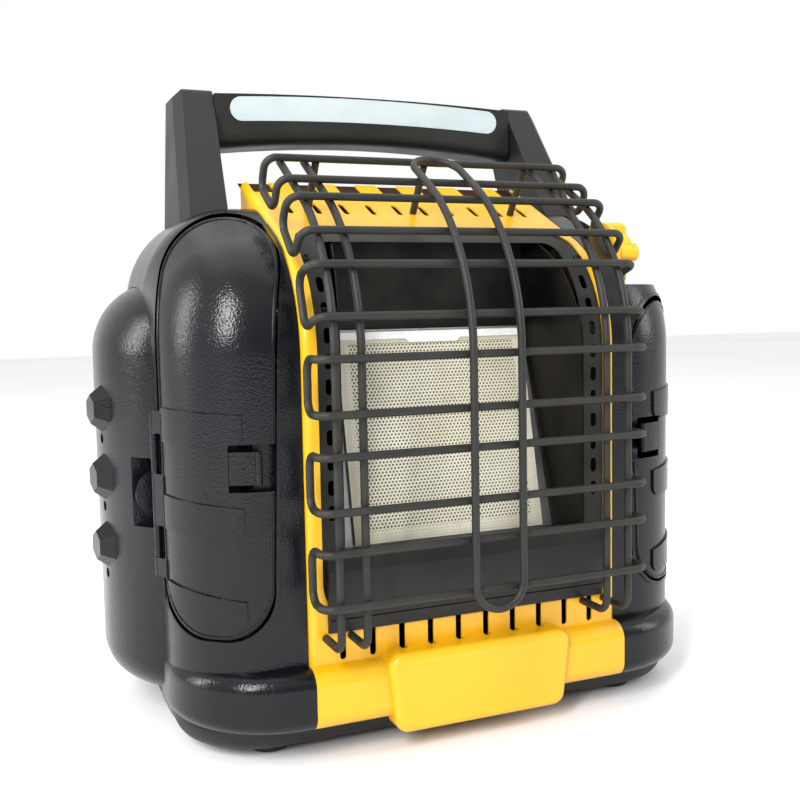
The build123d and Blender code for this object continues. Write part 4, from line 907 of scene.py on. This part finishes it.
# %% Screws on a surface
screws, start, end, sockets = node_group("screws_on_surface", {
    "Surface": ("NodeSocketObject", None),
    "Head": ("NodeSocketObject", None),
    "Towards": ("NodeSocketVector", None),
    "Finish": ("NodeSocketMaterial", None),
})
surface = add_node(screws, "GeometryNodeObjectInfo", links={"Object": start.outputs["Surface"]})
drop = add_node(screws, "GeometryNodeRaycast", {"Ray Length": RAY_REACH}, {
    "Target Geometry": surface.outputs["Geometry"], "Ray Direction": start.outputs["Towards"]})
turned = add_node(screws, "FunctionNodeAlignRotationToVector", {"axis": "Z"}, {
    "Vector": drop.outputs["Hit Normal"]})
head = add_node(screws, "GeometryNodeObjectInfo", links={"Object": start.outputs["Head"]})
copies = add_node(screws, "GeometryNodeInstanceOnPoints", links={
    "Points": start.outputs["Geometry"], "Instance": head.outputs["Geometry"],
    "Rotation": turned.outputs[0]})
here = add_node(screws, "GeometryNodeInputPosition")
way = add_node(screws, "ShaderNodeVectorMath", {"operation": "SUBTRACT"}, {
    0: drop.outputs["Hit Position"], 1: here.outputs[0]})
landed = add_node(screws, "GeometryNodeTranslateInstances", {"Local Space": False}, {
    "Instances": copies.outputs[0], "Translation": way.outputs[0]})
real = add_node(screws, "GeometryNodeRealizeInstances", links={"Geometry": landed.outputs[0]})
coated = add_node(screws, "GeometryNodeSetMaterial", links={
    "Geometry": real.outputs[0], "Material": start.outputs["Finish"]})
screws.links.new(coated.outputs[0], end.inputs[0])
print("screw tree:", len(screws.nodes), "nodes")

# %% [markdown]
# ## Rows of screws
#
# Two screws hold the bezel, four the rear cover and four the tray. Each row names a surface, the
# direction towards it, and points in millimetres that are held off it.

# %% Rows of screws
screw_rows = {
    "bezel_screws": ("burner_bezel", (0, 1, 0), [(x, -60, 311) for x in (-99, 99)]),
    "rear_screws": (
        "rear_cover", (0, -1, 0), [(x, 320, z) for x in (-165, 165) for z in (70, 235)]),
    "tray_screws": (
        "base_tray", (0, 0, 1), [(x, depth, -40) for x in (-110, 110) for depth in (60, 190)]),
}
for name, (surface_name, towards, places) in screw_rows.items():
    marks = bpy.data.meshes.new("marks")
    marks.from_pydata([at(*place) for place in places], [], [])
    shape = grown_mesh(name + "_marks", marks, screws, {
        sockets["Surface"]: nodes[surface_name], sockets["Head"]: head_shape,
        sockets["Towards"]: towards, sockets["Finish"]: black_screw})
    new_part(name, shape, black_screw)
    print(name, len(places), "heads,", len(shape.polygons), "faces")
